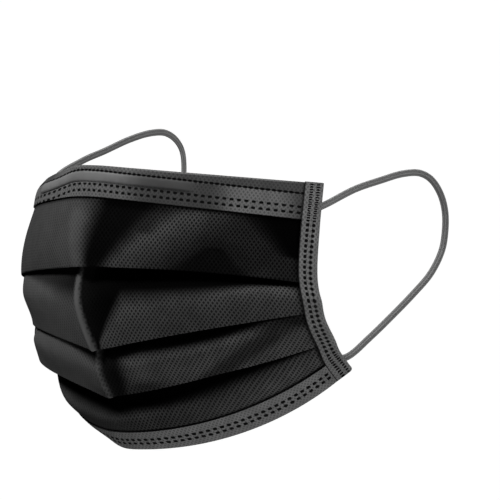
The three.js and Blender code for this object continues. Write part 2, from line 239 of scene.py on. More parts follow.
def smoothstep(low: float, high: float, x: np.ndarray) -> np.ndarray:
    """Smooth step: 0 up to low, 1 from high on, and 3s^2 - 2s^3 between them; low may be the larger one."""
    share = np.clip((np.asarray(x, float) - low) / (high - low), 0, 1)
    return share * share * (3 - 2 * share)


def smooth_through(places: Sequence[float], values: Sequence[float], x: np.ndarray) -> np.ndarray:
    """Cubic curve through the values at the places.

    Each stretch is the Hermite cubic whose slopes at its two ends are the slopes between the neighbours on
    both sides.

    Args:
        places: rising places of the values.
        values: the value at each place.
        x: where to read the curve; outside the places it keeps its end values.

    Returns:
        The curve's values at x.
    """
    p, v = np.asarray(places, float), np.asarray(values, float)
    last = len(p) - 1
    low, high = np.maximum(np.arange(last + 1) - 1, 0), np.minimum(np.arange(last + 1) + 1, last)
    slope = (v[high] - v[low]) / (p[high] - p[low])
    at = np.clip(x, p[0], p[last])
    i = np.clip(np.searchsorted(p, at, side="left") - 1, 0, last - 1)
    span = p[i + 1] - p[i]
    s = (at - p[i]) / span
    rise = (3 - 2 * s) * s * s
    return (1 - rise) * v[i] + rise * v[i + 1] + span * s * (1 - s) * ((1 - s) * slope[i] - s * slope[i + 1])


def unit(vectors: np.ndarray) -> np.ndarray:
    """Vectors along the last axis, brought to length 1."""
    return vectors / np.maximum(np.linalg.norm(vectors, axis=-1, keepdims=True), 1e-12)


def spread(count: int, limit: float, crowding: float = 1.0) -> np.ndarray:
    """Places from -limit to limit; a crowding above 1 draws them towards the middle."""
    share = np.linspace(-1, 1, count)
    return np.sign(share) * np.abs(share) ** crowding * limit


def shares(count: int) -> np.ndarray:
    """Even shares from 0 to 1 as a column, one more than the count."""
    return np.linspace(0, 1, count + 1)[:, None]


def between(start: np.ndarray, end: np.ndarray, share: np.ndarray) -> np.ndarray:
    """Straight blend from start, at a share of 0, to end, at a share of 1."""
    return start + (end - start) * share


def continued(part: np.ndarray, rows: int, value: float) -> np.ndarray:
    """A grid continued with one value to a number of rows."""
    return np.concatenate([part, np.full((rows - len(part), *part.shape[1:]), value)])


def running_length(points: np.ndarray) -> np.ndarray:
    """Distance run along the first axis of an array of points, starting at 0."""
    steps = np.linalg.norm(np.diff(points, axis=0), axis=-1)
    return np.concatenate([np.zeros_like(steps[:1]), np.cumsum(steps, axis=0)])


def link(name: str, data: Union[bpy.types.Mesh, bpy.types.Light, bpy.types.Camera]) -> bpy.types.Object:
    """Makes an object and puts it in the scene.

    Args:
        name: the object's name.
        data: what it shows.

    Returns:
        The object.
    """
    made = bpy.data.objects.new(name, data)
    bpy.context.scene.collection.objects.link(made)
    return made


@dataclass
class Skin:
    """Closed mesh under construction, with its own coordinates on every vertex.

    points are in millimetres. maps holds UV maps and marks attributes, by name, with one entry a point, and
    sharp is the angle in degrees from which an edge is shaded sharp.
    """

    name: str
    points: np.ndarray
    quads: np.ndarray
    maps: Mapping[str, np.ndarray]
    marks: Mapping[str, np.ndarray] = field(default_factory=dict)
    sharp: float = 50.0

    def build(self, shader: Shader, slot: str, *nodes: str) -> bpy.types.Object:
        """Makes the Blender object, dresses it and puts it in the place of CAD nodes.

        Args:
            shader: its material.
            slot: not used.
            nodes: the CAD nodes that it stands for.

        Returns:
            The finished object.
        """
        mesh = bpy.data.meshes.new(self.name)
        mesh.vertices.add(len(self.points))
        mesh.vertices.foreach_set("co", (self.points * MM).astype(np.float32).ravel())
        mesh.loops.add(self.quads.size)
        mesh.loops.foreach_set("vertex_index", self.quads.astype(np.int32).ravel())
        mesh.polygons.add(len(self.quads))
        mesh.polygons.foreach_set("loop_start", np.arange(0, self.quads.size, 4, dtype=np.int32))
        mesh.update(calc_edges=True)
        for key, coordinates in self.maps.items():
            layer = mesh.uv_layers.new(name=key)
            layer.data.foreach_set("uv", coordinates[self.quads.ravel()].astype(np.float32).ravel())
        for key, values in self.marks.items():
            layer = mesh.attributes.new(key, "FLOAT", "POINT")
            layer.data.foreach_set("value", values.astype(np.float32))
        mesh.validate()
        mesh.shade_smooth()
        mesh.set_sharp_from_angle(angle=math.radians(self.sharp))
        mesh.materials.append(shader.material)
        piece = link(self.name, mesh)
        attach(piece, BODY)
        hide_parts(*nodes)
        LOG.info("%s: %d quads", self.name, len(self.quads))
        return piece


def grid_quads(rows: int, columns: int) -> np.ndarray:
    """Quads of a grid, turned so that they face along down x across.

    Args:
        rows: how many rows of points it has.
        columns: how many columns.

    Returns:
        Corner numbers, four a quad, counted row by row.
    """
    corner = np.arange(rows * columns).reshape(rows, columns)
    upper, lower = corner[:-1], corner[1:]
    return np.stack([upper[:, :-1], lower[:, :-1], lower[:, 1:], upper[:, 1:]], axis=-1).reshape(-1, 4)


def wall(
    name: str,
    middle: np.ndarray,
    thickness: float,
    maps: Mapping[str, np.ndarray],
    marks: Optional[Mapping[str, np.ndarray]] = None,
    sunk: Union[np.ndarray, float] = 0.0,
    flip: tuple[int, ...] = (),
) -> Skin:
    """Closed wall round a grid of middle points.

    The outer face is the grid moved half the thickness along down x across, less what is sunk; the inner
    face is moved as far the other way; and four strips of quads close the rim.

    Args:
        name: the piece's name.
        middle: the grid's points, rows x columns x 3.
        thickness: the wall's thickness.
        maps: UV maps, rows x columns x 2 each.
        marks: attributes, rows x columns each.
        sunk: how deep the outer face is pressed in at each point.
        flip: axes along which the grid is turned round first, so that its outer face looks outwards.

    Returns:
        The wall as a skin.
    """
    rows, columns = middle.shape[:2]
    middle, sunk = np.flip(middle, flip), np.flip(np.broadcast_to(sunk, (rows, columns)), flip)
    normal = unit(np.cross(np.gradient(middle, axis=0), np.gradient(middle, axis=1)))
    outer = middle + normal * (thickness / 2 - sunk)[..., None]
    inner = middle - normal * thickness / 2
    face = grid_quads(rows, columns)
    count = rows * columns
    corner = np.arange(count).reshape(rows, columns)
    loop = np.concatenate([corner[:, 0], corner[-1, 1:], corner[-2::-1, -1], corner[0, -2:0:-1]])
    after = np.roll(loop, -1)
    rim = np.stack([after, loop, loop + count, after + count], axis=-1)
    both = {key: np.concatenate([np.flip(value, flip).reshape(count, -1)] * 2) for key, value in maps.items()}
    flags = {key: np.concatenate([np.flip(value, flip).ravel()] * 2) for key, value in (marks or {}).items()}
    points = np.concatenate([outer.reshape(-1, 3), inner.reshape(-1, 3)])
    return Skin(name, points, np.concatenate([face, face[:, ::-1] + count, rim]), both, flags)


# ------------------------------------------------------------------------------------------------
# The worn form
# ------------------------------------------------------------------------------------------------


class Side(Enum):
    """Side of the wearer."""

    LEFT = 1
    RIGHT = -1

    @property
    def word(self) -> str:
        """The side as part of a name."""
        return self.name.lower()


class Line(Enum):
    """Name of a level line, from the top edge down; a pleat's line is its lower, folded edge."""

    TOP_EDGE = auto()
    WIRE_LINE = auto()
    HEM_LINE = auto()
    PLEAT_1 = auto()
    PLEAT_2 = auto()
    PLEAT_3 = auto()
    LOWER_LINE = auto()
    BOTTOM_EDGE = auto()


@dataclass(frozen=True)
class Course:
    """Course of a level line from the middle to one side edge.

    keel and turn are its heading beside the middle and at the side edge, and ease how late the turn comes.
    climb and rise are its slope at the same places. Angles are in degrees.
    """

    keel: float
    turn: float
    ease: float
    climb: float
    rise: float


@dataclass(frozen=True)
class Level:
    """Form of a level line of the worn cloth, with its courses to the wearer's left and right.

    back and height are where it crosses the middle plane, in millimetres, and soft is the share of the half
    width over which the centre crease is rounded.
    """

    back: float
    height: float
    soft: float
    left: Course
    right: Course


@dataclass
class WornForm:
    """Smooth form of the worn cloth, in which every level line keeps the cloth's true width.

    stations and shares are its steps down the middle and along half a level line. Normals are taken over
    slope_reach millimetres up and down and over side_reach of the half width to both sides. The form goes on
    past the side edge up to overrun, a share of the half width. seat is what the points are moved back by, so
    that the origin lies on the bridge of the nose.
    """

    half_width: float = 87.5
    stations: int = 220
    shares: int = 350
    slope_reach: float = 0.5
    side_reach: float = 0.004
    overrun: float = 1.02
    seat: tuple[float, float, float] = (0, 1.861, -5.786)
    levels: Mapping[Line, Level] = field(
        default_factory=lambda: {
            Line.TOP_EDGE: Level(
                0.9, 0, 0.12, Course(16, 59.3, 0.86, -4.2, -5), Course(21, 54, 0.78, -10.5, -0.5)
            ),
            Line.WIRE_LINE: Level(
                0.2, -5, 0.12, Course(14.7, 58.4, 0.83, -5, -5), Course(14, 57, 0.82, -8, -1.5)
            ),
            Line.HEM_LINE: Level(
                -0.7, -11.3, 0.12, Course(13.3, 57.5, 0.81, -5.4, -7.1), Course(12, 58.6, 0.85, -6, -4)
            ),
            Line.PLEAT_1: Level(
                -3.2, -36.3, 0.06, Course(20, 51.4, 0.97, 0.6, -8.7), Course(6.8, 65.1, 1.04, -3.2, -6.6)
            ),
            Line.PLEAT_2: Level(
                4.3, -66.6, 0.02, Course(2.8, 56.8, 0.83, 12, 7.6), Course(3.4, 64.8, 0.99, 13.8, -5)
            ),
            Line.PLEAT_3: Level(
                12.1, -83.9, 0.02, Course(13.2, 59, 1.31, 10.2, 18.2), Course(10.9, 72.4, 1.82, 14.6, 3.7)
            ),
            Line.LOWER_LINE: Level(
                19.8, -96, 0.16, Course(10.9, 53, 0.77, 0.3, 39.1), Course(3.4, 62.7, 0.745, 4, 33)
            ),
            Line.BOTTOM_EDGE: Level(
                26, -102.6, 0.13, Course(15.9, 53.5, 0.76, -1.5, 41.7), Course(0.5, 68, 1.12, 28, 22)
            ),
        }
    )

    def __post_init__(self) -> None:
        """Works out how far down the middle each level lies."""
        crossings = np.array([[level.back, level.height] for level in self.levels.values()])
        self.distances = dict(zip(self.levels, running_length(crossings)))
        self.full = self.distances[Line.BOTTOM_EDGE]

    def read(self, distance: np.ndarray, value: Callable[[Level], float]) -> np.ndarray:
        """Smooth column of a value that every level has, at distances down the middle."""
        values = [value(level) for level in self.levels.values()]
        return smooth_through(list(self.distances.values()), values, distance)[:, None]

    def run(self, side: Side, distance: np.ndarray) -> np.ndarray:
        """Courses of the cloth to one side, at distances down the middle.

        A line's heading is keel x onset + (turn - keel) x share^ease and its slope climb x onset +
        (rise - climb) x share, where share is the place along the half width. The point is the sum of the
        steps along that direction.

        Args:
            side: the side that they run to.
            distance: distances down the middle of the mask.

        Returns:
            Points before they are mirrored or moved to where the line crosses the middle.
        """
        keel, turn, ease, climb, rise = (
            self.read(distance, attrgetter(f"{side.word}.{part.name}")) for part in fields(Course)
        )
        share = ((np.arange(self.shares) + 0.5) / self.shares)[None, :]
        onset = smoothstep(0, 1, share / self.read(distance, attrgetter("soft")))
        heading = np.radians(keel * onset + (turn - keel) * share**ease)
        climb = np.radians(climb * onset + (rise - climb) * share)
        level = np.cos(climb)
        step = np.stack([np.cos(heading) * level, np.sin(heading) * level, np.sin(climb)], axis=-1)
        run = np.concatenate([np.zeros_like(step[:, :1]), np.cumsum(step, axis=1)], axis=1)
        return run * self.half_width / self.shares

    def smooth(self, across: np.ndarray, distance: np.ndarray) -> np.ndarray:
        """Points of the smooth form.

        Args:
            across: places from -1 to 1 between the side edges.
            distance: distances down the middle of the mask.

        Returns:
            Points, distances x places x 3.
        """
        place = np.minimum(np.abs(across) * self.shares, self.shares * self.overrun)
        i = np.clip(place.astype(int), 0, self.shares - 1)
        share = (place - i)[None, :, None]
        halves = {}
        for side in Side:
            run = self.run(side, distance)
            halves[side] = between(run[:, i], run[:, i + 1], share) * (side.value, 1, 1)
        points = np.where((across > 0)[None, :, None], halves[Side.LEFT], halves[Side.RIGHT])
        points[..., 1] += self.read(distance, attrgetter("back"))
        points[..., 2] += self.read(distance, attrgetter("height"))
        return points - self.seat

    def columns(self, across: np.ndarray) -> "Columns":
        """The form's columns at some places across the mask.

        Args:
            across: the places, from -1 at the wearer's right edge to 1 at the left.

        Returns:
            The columns, with outward normals from the form's slopes down and across.
        """
        distance = np.linspace(0, self.full, self.stations + 1)
        low = np.maximum(distance - self.slope_reach, 0)
        high = np.minimum(distance + self.slope_reach, self.full)
        down = self.smooth(across, high) - self.smooth(across, low)
        near, far = across - self.side_reach, across + self.side_reach
        side = self.smooth(far, distance) - self.smooth(near, distance)
        return Columns(self, across, self.smooth(across, distance), unit(np.cross(down, side)))


class Columns:
    """Columns of the worn form, read by length down the cloth; spare keeps them apart in a search."""

    spare: float = 100.0

    def __init__(self, form: WornForm, across: np.ndarray, spine: np.ndarray, normals: np.ndarray) -> None:
        """Keeps the columns and measures the length down each.

        Args:
            form: the form they belong to.
            across: their places from -1 to 1.
            spine: their points, stations x columns x 3.
            normals: their outward normals.
        """
        self.form, self.across, self.spine, self.normals = form, across, spine, normals
        self.lengths = running_length(spine)

    @property
    def reach(self) -> np.ndarray:
        """Share of the half width between each column and the middle, as one row."""
        return np.abs(self.across)[None, :]

    @property
    def reach_mm(self) -> np.ndarray:
        """Distance of each column from the middle along the cloth, in millimetres, as one row."""
        return self.reach * self.form.half_width

    @property
    def across_mm(self) -> np.ndarray:
        """Signed distance of each column from the middle along the cloth, in millimetres."""
        return self.across * self.form.half_width

    def length_at(self, level: Union[Line, np.ndarray]) -> np.ndarray:
        """Length down each column where it crosses a level line.

        Args:
            level: the line, or distances down the middle.

        Returns:
            The lengths, one row for each distance.
        """
        distance = self.form.distances[level] if isinstance(level, Line) else level
        place = np.atleast_1d(distance) / self.form.full * self.form.stations
        i = np.clip(place.astype(int), 0, self.form.stations - 1)
        return between(self.lengths[i], self.lengths[i + 1], (place - i)[:, None])

    def points(self, length: np.ndarray, outwards: Union[np.ndarray, float]) -> np.ndarray:
        """Points at lengths down the columns, moved outwards.

        All columns are searched at once: column c's lengths are raised by c times a stride longer than any
        of them, which puts every length of every column in one rising list.

        Args:
            length: lengths, rows x columns.
            outwards: distances along the outward normal.

        Returns:
            Points, rows x columns x 3.
        """
        count = self.form.stations + 1
        column = np.broadcast_to(np.arange(len(self.across)), length.shape)
        stride = self.lengths.max() + self.spare
        rising = (self.lengths + np.arange(len(self.across)) * stride).T.ravel()
        i = np.searchsorted(rising, length + column * stride) - 1 - column * count
        i = np.clip(i, 0, count - 2)
        start, end = self.lengths[i, column], self.lengths[i + 1, column]
        share = ((length - start) / (end - start))[..., None]
        place = self.spine[i, column] * (1 - share) + self.spine[i + 1, column] * share
        turn = np.clip(share, 0, 1)
        normal = unit(self.normals[i, column] * (1 - turn) + self.normals[i + 1, column] * turn)
        return place + normal * np.broadcast_to(outwards, length.shape)[..., None]


# ------------------------------------------------------------------------------------------------
# Finishes
# ------------------------------------------------------------------------------------------------


@dataclass(frozen=True)
class Emboss:
    """Bonding pattern of nonwoven cloth: dots in the openings of a mesh of slanting lines.

    across and down are the pattern's pitches in millimetres, and low and high the wave heights between which
    a dot rises.
    """

    across: float = 1.56
    down: float = 2.04
    low: float = -0.9
    high: float = 0.25

    def mask(self, shader: Shader) -> Value:
        """Dots where both cos(a + b) and cos(a - b) are high, a and b being turns along u and v.

        Args:
            shader: the material that gets the nodes.

        Returns:
            1 in a dot and 0 on the lines between them.
        """
        u, v = shader.uv("cloth")
        a, b = u * (TURN / self.across), v * (TURN / self.down)
        wave = (a + b).maths("COSINE").maths("MINIMUM", (a - b).maths("COSINE"))
        return wave.step(self.low, self.high)


@dataclass(frozen=True)
class ClothFinish:
    """Matt black nonwoven.

    ground and dot are the grey levels of plain and embossed cloth, painted_highlight the grey level of
    painted highlight and dark that of painted shade, both laid on by the shade mark. mottle is how far the
    ground varies in clouds, fibre how light its fibres are and smooth its level where there is no emboss, all
    as shares of the ground. The emboss is shallow on the wearer's right and gets deeper between the two
    places of deepening; dots_shade are the amounts of painted highlight at which its dots are gone and still
    whole.
    """

    ground: float = 0.056
    mottle: tuple[float, float] = (0.78, 1.12)
    cloud_scale: float = 160.0
    fibre: float = 1.5
    smooth: float = 0.86
    dot: float = 0.011
    painted_highlight: float = 0.11
    shallow: float = 0.5
    deepening: tuple[float, float] = (-3.0, 9.0)
    dots_shade: tuple[float, float] = (0.42, 0.22)
    dark: float = 0.0005
    emboss: Emboss = Emboss()

    def shader(self) -> Shader:
        """Makes the material.

        Returns:
            Dark embossed dots on a slightly uneven ground, with fine fibres in the bump, under the painted
            shade and painted highlight of the shade mark.
        """
        made = Shader("black_nonwoven", roughness=0.72, specular=0.005, sheen=0)
        depth = made.uv("cloth")[0].step(*self.deepening) * (1 - self.shallow) + self.shallow
        # The shade mark carries painted shade where it is positive and painted highlight where it is
        # negative; the emboss dots fade out under the painted highlight.
        shade = made.attribute("shade")
        dots = self.emboss.mask(made) * depth * (shade * -1).step(*self.dots_shade)
        fibres = made.noise(FIBRES, 3)
        ground = made.clouds(self.cloud_scale, self.ground, *self.mottle)
        ground = made.mix(fibres.step(0.35, 0.7) * 0.5, ground, grey(self.ground * self.fibre))
        ground = made.mix(depth, grey(self.ground * self.smooth), ground)
        ground = made.mix(dots, ground, grey(self.dot))
        # Painted highlight where the shade mark is negative.
        ground = made.mix(shade * -1, ground, grey(self.painted_highlight))
        # Painted shade where the shade mark is positive.
        made.feed("Base Color", made.mix(shade, ground, grey(self.dark)))
        made.feed("Roughness", 0.78 - dots * 0.2)
        made.bump((1 - dots) * 0.75 + fibres * 0.25, 0.8, 0.12)
        return made


@dataclass(frozen=True)
class Row:
    """Row of weld marks in a trim strip.

    place is its distance in the strip's seam map, half_height and half_share the half size of a mark across
    the row in millimetres and along it as a share of the pitch. depth is how deep it is pressed, and line the
    half height of a groove that joins the marks, or 0. rate is how many marks it has for each of the map.
    """

    place: float
    half_height: float = 0.45
    half_share: float = 0.27
    depth: float = 0.12
    line: float = 0.0
    rate: float = 1.0


@dataclass(frozen=True)
class TrimFinish:
    """Mid-grey nonwoven strip with welded dots.

    ground and weld are the grey levels of the cloth and of its weld marks, and edge that of the painted shade
    on the strip's edges and wherever else its shade mark says. mottle is how far the ground varies in clouds,
    dot the level of its emboss and wire_highlight that of the painted highlight on the cloth ironed over the
    wire, as shares of the ground; gleam gives the seam places between which that painted highlight grows.
    soft and mark_edge give the values of a mark's formula between which its depth ends and its darkness
    starts, and line_edge the half heights between which a groove's does. A groove has line_depth of a mark's
    depth and line_dark of its darkness.
    """

    name: str
    rows: tuple[Row, ...]
    ground: float
    weld: float = 0.003
    edge: float = 0.012
    mottle: tuple[float, float] = (0.9, 1.1)
    cloud_scale: float = 220.0
    dot: float = 0.56
    wire_highlight: float = 1.55
    gleam: tuple[float, float] = (3.4, 1.2)
    soft: tuple[float, float] = (0.5, 1.5)
    mark_edge: tuple[float, float] = (1.5, 0.9)
    line_edge: tuple[float, float] = (1.3, 0.7)
    line_depth: float = 0.5
    line_dark: float = 0.85
    emboss: Emboss = Emboss(1.5, 1.9)

    def pressed(self, phase: np.ndarray, place: np.ndarray) -> np.ndarray:
        """Depth of the weld marks at places of the seam map.

        A mark is the inside of (x / a)^3 + (y / b)^3 = 1 around each whole number of the phase, with a soft
        edge; a groove is a band of the same softness.

        Args:
            phase: seam coordinate along the strip, one whole number a mark.
            place: seam coordinate across the strip.

        Returns:
            The depth in millimetres.
        """
        depth = np.zeros(np.broadcast(phase, place).shape)
        for row in self.rows:
            along = np.abs(phase * row.rate - np.round(phase * row.rate))
            across = np.abs(place - row.place)
            inside = (along / row.half_share) ** 3 + (across / row.half_height) ** 3
            depth = np.maximum(depth, row.depth * (1 - smoothstep(*self.soft, inside)))
            if row.line:
                groove = 1 - smoothstep(*self.soft, across / row.line)
                depth = np.maximum(depth, self.line_depth * row.depth * groove)
        return depth

    def shader(self) -> Shader:
        """Makes the material.

        Returns:
            Grey cloth with a faint emboss, dark weld marks where the seam map says, a painted highlight over
            the wire, and painted shade on its edges and wherever else its shade mark says.
        """
        made = Shader(self.name, roughness=0.7, specular=0.03, sheen=0)
        phase, place = made.uv("seam")
        marks: Optional[Value] = None
        for row in self.rows:
            count = phase * row.rate
            along = (count - count.maths("ROUND")).maths("ABSOLUTE")
            across = (place - row.place).maths("ABSOLUTE")
            inside = (along / row.half_share) ** 3.0 + (across / row.half_height) ** 3.0
            mark = inside.step(*self.mark_edge)
            if row.line:
                groove = (across / row.line).step(*self.line_edge)
                mark = mark.maths("MAXIMUM", groove * self.line_dark)
            marks = mark if marks is None else marks.maths("MAXIMUM", mark)
        ironed = made.attribute("ironed")
        dots = self.emboss.mask(made) * (1 - ironed)
        fibres = made.noise(FIBRES, 3)
        ground = made.clouds(self.cloud_scale, self.ground, *self.mottle)
        ground = made.mix(dots, ground, grey(self.ground * self.dot))
        # Painted highlight on the upper part of the cloth ironed over the wire.
        ground = made.mix(ironed * place.step(*self.gleam) * 0.5, ground, grey(self.ground * self.wire_highlight))
        # Painted shade wherever the strip's shade mark says.
        ground = made.mix(made.attribute("cut").step(0.2, 0.9), ground, grey(self.edge))
        made.feed("Base Color", made.mix(marks, ground, grey(self.weld)))
        made.feed("Roughness", 0.72 - marks * 0.3)
        made.bump((1 - dots) * 0.5 + fibres * 0.5, 0.4, 0.1)
        return made


@dataclass(frozen=True)
class ElasticFinish:
    """Mid-grey knitted elastic: lengthwise ribs crossed by fine stitches, whose pitch is in millimetres."""

    ground: float = 0.135
    ribs: int = 7
    stitch: float = 0.55

    def shader(self) -> Shader:
        """Makes the material.

        Returns:
            Ribs from the angle round the cord and stitches from the length along it, shifted by half a
            stitch from rib to rib, with painted shade in their hollows and a lighter colour on their crowns.
        """
        made = Shader("knitted_elastic", roughness=0.75, specular=0.3, sheen=0.15)
        around, along = made.uv("cord")
        rib = (around * (TURN * self.ribs)).maths("COSINE") * 0.5 + 0.5
        shift = (around * self.ribs).maths("FLOOR") * 0.5
        stitch = ((along / self.stitch + shift) * TURN).maths("COSINE") * 0.5 + 0.5
        height = rib * 0.6 + stitch * rib * 0.4
        # Painted shade: darker in the hollows between ribs and stitches, lighter on their crowns.
        hollow, crown = grey(self.ground * 0.55), grey(self.ground * 1.15)
        made.feed("Base Color", made.mix(height.step(0.05, 0.8), hollow, crown))
        made.bump(height, 0.7, 0.12)
        return made


@dataclass(frozen=True)
class WireFinish:
    """Plain flat aluminium strip."""

    ground: float = 0.55

    def shader(self) -> Shader:
        """Makes the material.

        Returns:
            Bare metal with faint marks of the mill along it.
        """
        made = Shader("nose_wire_metal", roughness=0.4, specular=0.5, sheen=0, metallic=1)
        u, v = made.uv("cloth")
        lines = made.node("ShaderNodeTexNoise", {"noise_dimensions": "1D"}, {"W": v, "Scale": 14.0})
        made.feed("Base Color", made.mix(lines, grey(self.ground * 0.8), grey(self.ground)))
        made.feed("Roughness", 0.34 + (u * 0.7).maths("SINE") * 0.03 + lines * 0.1)
        return made


# ------------------------------------------------------------------------------------------------
# Cloth and trims
# ------------------------------------------------------------------------------------------------


@dataclass(frozen=True)
class Pleat:
    """Pleat folded back under the lower edge of the panel with the same number.

    tuck is its hidden height at the middle and at the side. recess is how far the next panel lies behind the
    edge, and shade how far down that panel's cloth gets painted shade, both at places from the wearer's right
    to the left.
    """

    tuck: tuple[float, float]
    recess: tuple[float, ...]
    shade: tuple[float, ...]


@dataclass(frozen=True)
class Panel:
    """Panel of cloth between two level lines.

    swell is how far it swells and cheek how much further it does on the wearer's right cheek. settle is the
    share of its height over which it comes forward from behind the pleat, and rows its rows of quads.
    """

    start: Line
    end: Line
    swell: float
    cheek: float
    settle: float
    rows: int


@dataclass(frozen=True)
class Dent:
    """Soft dent in a panel, or a ridge where its depth is negative.

    across, down and half_width are the places and sizes of its upper and lower end, as shares of the mask's
    half width and of the panel's height. shade is how much painted shade its cloth gets, or painted highlight
    where it is negative; a dent of depth 0 is only a patch of painted shade or highlight. steep is the share
    of its half width that it keeps on the side of the wearer's right.
    """

    panel: int
    across: tuple[float, float]
    down: tuple[float, float]
    half_width: tuple[float, float]
    depth: float
    shade: float
    steep: float = 1.0


@dataclass
class PleatedPanel:
    """Three-ply panel: one sheet folded into three pleats that open over nose, mouth and chin.

    wall is its thickness, edge_fold and back_fold are the radii of its folds and inset is how far it stays
    inside the trims. columns are its quads across, which crowding draws to the middle; arc_parts, tuck_rows
    and margin_rows are the quads down a fold, a tuck and the cloth under a hem. dent_fade is how far a dent
    goes on past its ends, as a share of the panel's height. swell_fade and bound are the places, as shares
    of the half width, over which its swell ends and the cloth gets painted shade beside the side bindings.
    The cheek is a bell round cheek_place. places are where the values of a pleat are given. A pleat's mouth
    has full painted shade up to the first share of its shade and none from the second; hem_shadow and
    bottom_shadow are the same beside the hems, in millimetres. dent_shade are the depths of a dent's bell
    between which its cloth gets painted shade, and highlight_over is how strongly painted highlight hides
    painted shade.
    """

    form: WornForm
    wall: float = 0.5
    edge_fold: float = 0.33
    back_fold: float = 0.4
    inset: float = 0.8
    columns: int = 200
    crowding: float = 1.15
    arc_parts: int = 8
    tuck_rows: int = 8
    margin_rows: int = 4
    dent_fade: float = 0.12
    dent_shade: tuple[float, float] = (0.05, 0.9)
    mouth_shadow: tuple[float, float] = (0.6, 1.3)
    hem_shadow: tuple[float, float] = (0.4, 1.3)
    bottom_shadow: tuple[float, float] = (0.3, 1.2)
    highlight_over: float = 1.4
    swell_fade: tuple[float, float] = (0.6, 0.95)
    bound: tuple[float, float] = (0.904, 0.916)
    cheek_place: float = -0.68
    cheek_width: float = 0.22
    places: tuple[float, ...] = (-1, -0.88, -0.6, -0.3, 0, 0.25, 0.5, 0.75, 1)
    # A pleat's shade is the painted shade in its mouth, on the cloth below it.
    pleats: tuple[Pleat, ...] = (
        Pleat(
            tuck=(5, 7),
            recess=(1.2, 1.2, 1.2, 2.5, 3.6, 4.6, 4, 2.8, 1.2),
            shade=(0.1, 0.1, 0.8, 5.5, 12.5, 12, 9, 4, 1),
        ),
        Pleat(
            tuck=(4, 4),
            recess=(1.2, 1.2, 1.2, 1.4, 2.4, 3.3, 3, 2, 1.2),
            shade=(0.1, 0.1, 0.3, 0.5, 5.5, 6.2, 5.6, 1.8, 0.3),
        ),
        Pleat(
            tuck=(5, 4),
            recess=(1.2, 6.5, 6.5, 5.6, 5.2, 5.2, 4.6, 3, 1.2),
            shade=(1, 5, 7, 9, 9, 8.5, 6.5, 3.6, 1),
        ),
    )
    panels: tuple[Panel, ...] = (
        Panel(Line.HEM_LINE, Line.PLEAT_1, 1.2, -0.2, 0.45, 30),
        Panel(Line.PLEAT_1, Line.PLEAT_2, 1.4, -1.0, 0.45, 34),
        Panel(Line.PLEAT_2, Line.PLEAT_3, 0.8, -1.4, 0.45, 26),
        Panel(Line.PLEAT_3, Line.LOWER_LINE, 0.6, -1.8, 0.7, 26),
    )
    # The shade column is painted: painted shade where positive and painted highlight where negative; rows of
    # depth 0 are only painted patches.
    dents: tuple[Dent, ...] = (
        Dent(0, (0.18, 0.045), (0, 0.95), (0.26, 0.085), 1.6, 0.96, steep=0.57),
        Dent(0, (0.3, 0.24), (-0.2, 0.4), (0.24, 0.1), 0, 0.75),
        Dent(0, (-0.02, -0.02), (0.3, 1), (0.05, 0.03), -0.3, -0.2),
        Dent(0, (0.88, 0.56), (-0.1, 1), (0.36, 0.34), 0, 0.8),
        Dent(0, (0.57, 0.55), (0.66, 1), (0.1, 0.28), 0.6, 0.93),
        Dent(0, (0.95, 1.0), (-0.2, 0.6), (0.58, 0.28), 0.4, 1.0),
        Dent(0, (0.95, 1.0), (0, 1), (0.42, 0.38), 0, 0.8),
        Dent(0, (-0.5, -0.5), (0, 1), (0.4, 0.4), 0, 0.17),
        Dent(1, (0.03, 0.008), (0, 0.92), (0.28, 0.028), 2.0, 1.4, steep=0.28),
        Dent(1, (-0.1, -0.07), (0, 0.12), (0.15, 0.06), 0, 1.3),
        Dent(1, (-0.036, -0.002), (0.14, 1), (0.008, 0.007), -0.9, -0.55, steep=2.7),
        Dent(1, (0.62, 0.6), (0.3, 1), (0.5, 0.5), 0, 0.2),
        Dent(1, (-0.45, -0.4), (0, 1), (0.4, 0.38), 0, -0.13),
        Dent(2, (0.03, 0.03), (0, 0.95), (0.12, 0.09), 1.2, 0.96, steep=0.25),
        Dent(2, (0.1, 0.16), (0.9, 1.1), (0.18, 0.2), 0, 0.6),
        Dent(2, (-0.005, 0.003), (0, 1), (0.005, 0.005), -0.3, -0.25, steep=2.4),
        Dent(2, (0.2, 0.17), (0.3, 0.6), (0.09, 0.07), -0.4, -0.1),
        Dent(2, (0.93, 0.48), (0, 1), (0.12, 0.1), 0.5, 0.62),
        Dent(2, (-0.45, -0.4), (0, 1), (0.4, 0.38), 0, -0.17),
        Dent(3, (-0.1, 0.1), (0, 1), (0.45, 0.45), 0, 0.45),
    )

    def profile(self, values: Sequence[float], columns: Columns) -> np.ndarray:
        """Smooth row through values at the places from the wearer's right to the left."""
        return smooth_through(self.places, values, columns.across)[None, :]

    def dented(self, index: int, columns: Columns, share: np.ndarray) -> tuple[np.ndarray, ...]:
        """Depth, painted shade and painted highlight of a panel's dents.

        Each is depth x exp(-(sideways)^2 - (lengthways)^2): sideways counts half widths from its middle
        line, and lengthways is 0 between its ends and counts fade lengths beyond them.

        Args:
            index: the panel's number.
            columns: the columns that are looked at.
            share: places between the panel's two level lines, rows x columns.

        Returns:
            The summed depth, the deepest painted shade and the strongest painted highlight, rows x columns
            each.
        """
        depth, shade, painted_highlight = np.zeros((3, *share.shape))
        for dent in self.dents:
            if dent.panel != index:
                continue
            top, bottom = dent.down
            along = np.clip((share - top) / (bottom - top), 0, 1)
            sideways = columns.across[None, :] - between(*dent.across, along)
            lengthways = np.maximum(np.maximum(top - share, share - bottom), 0) / self.dent_fade
            half = between(*dent.half_width, along) * np.where(sideways < 0, dent.steep, 1)
            bell = np.exp(-((sideways / half) ** 2) - lengthways**2)
            depth += dent.depth * bell
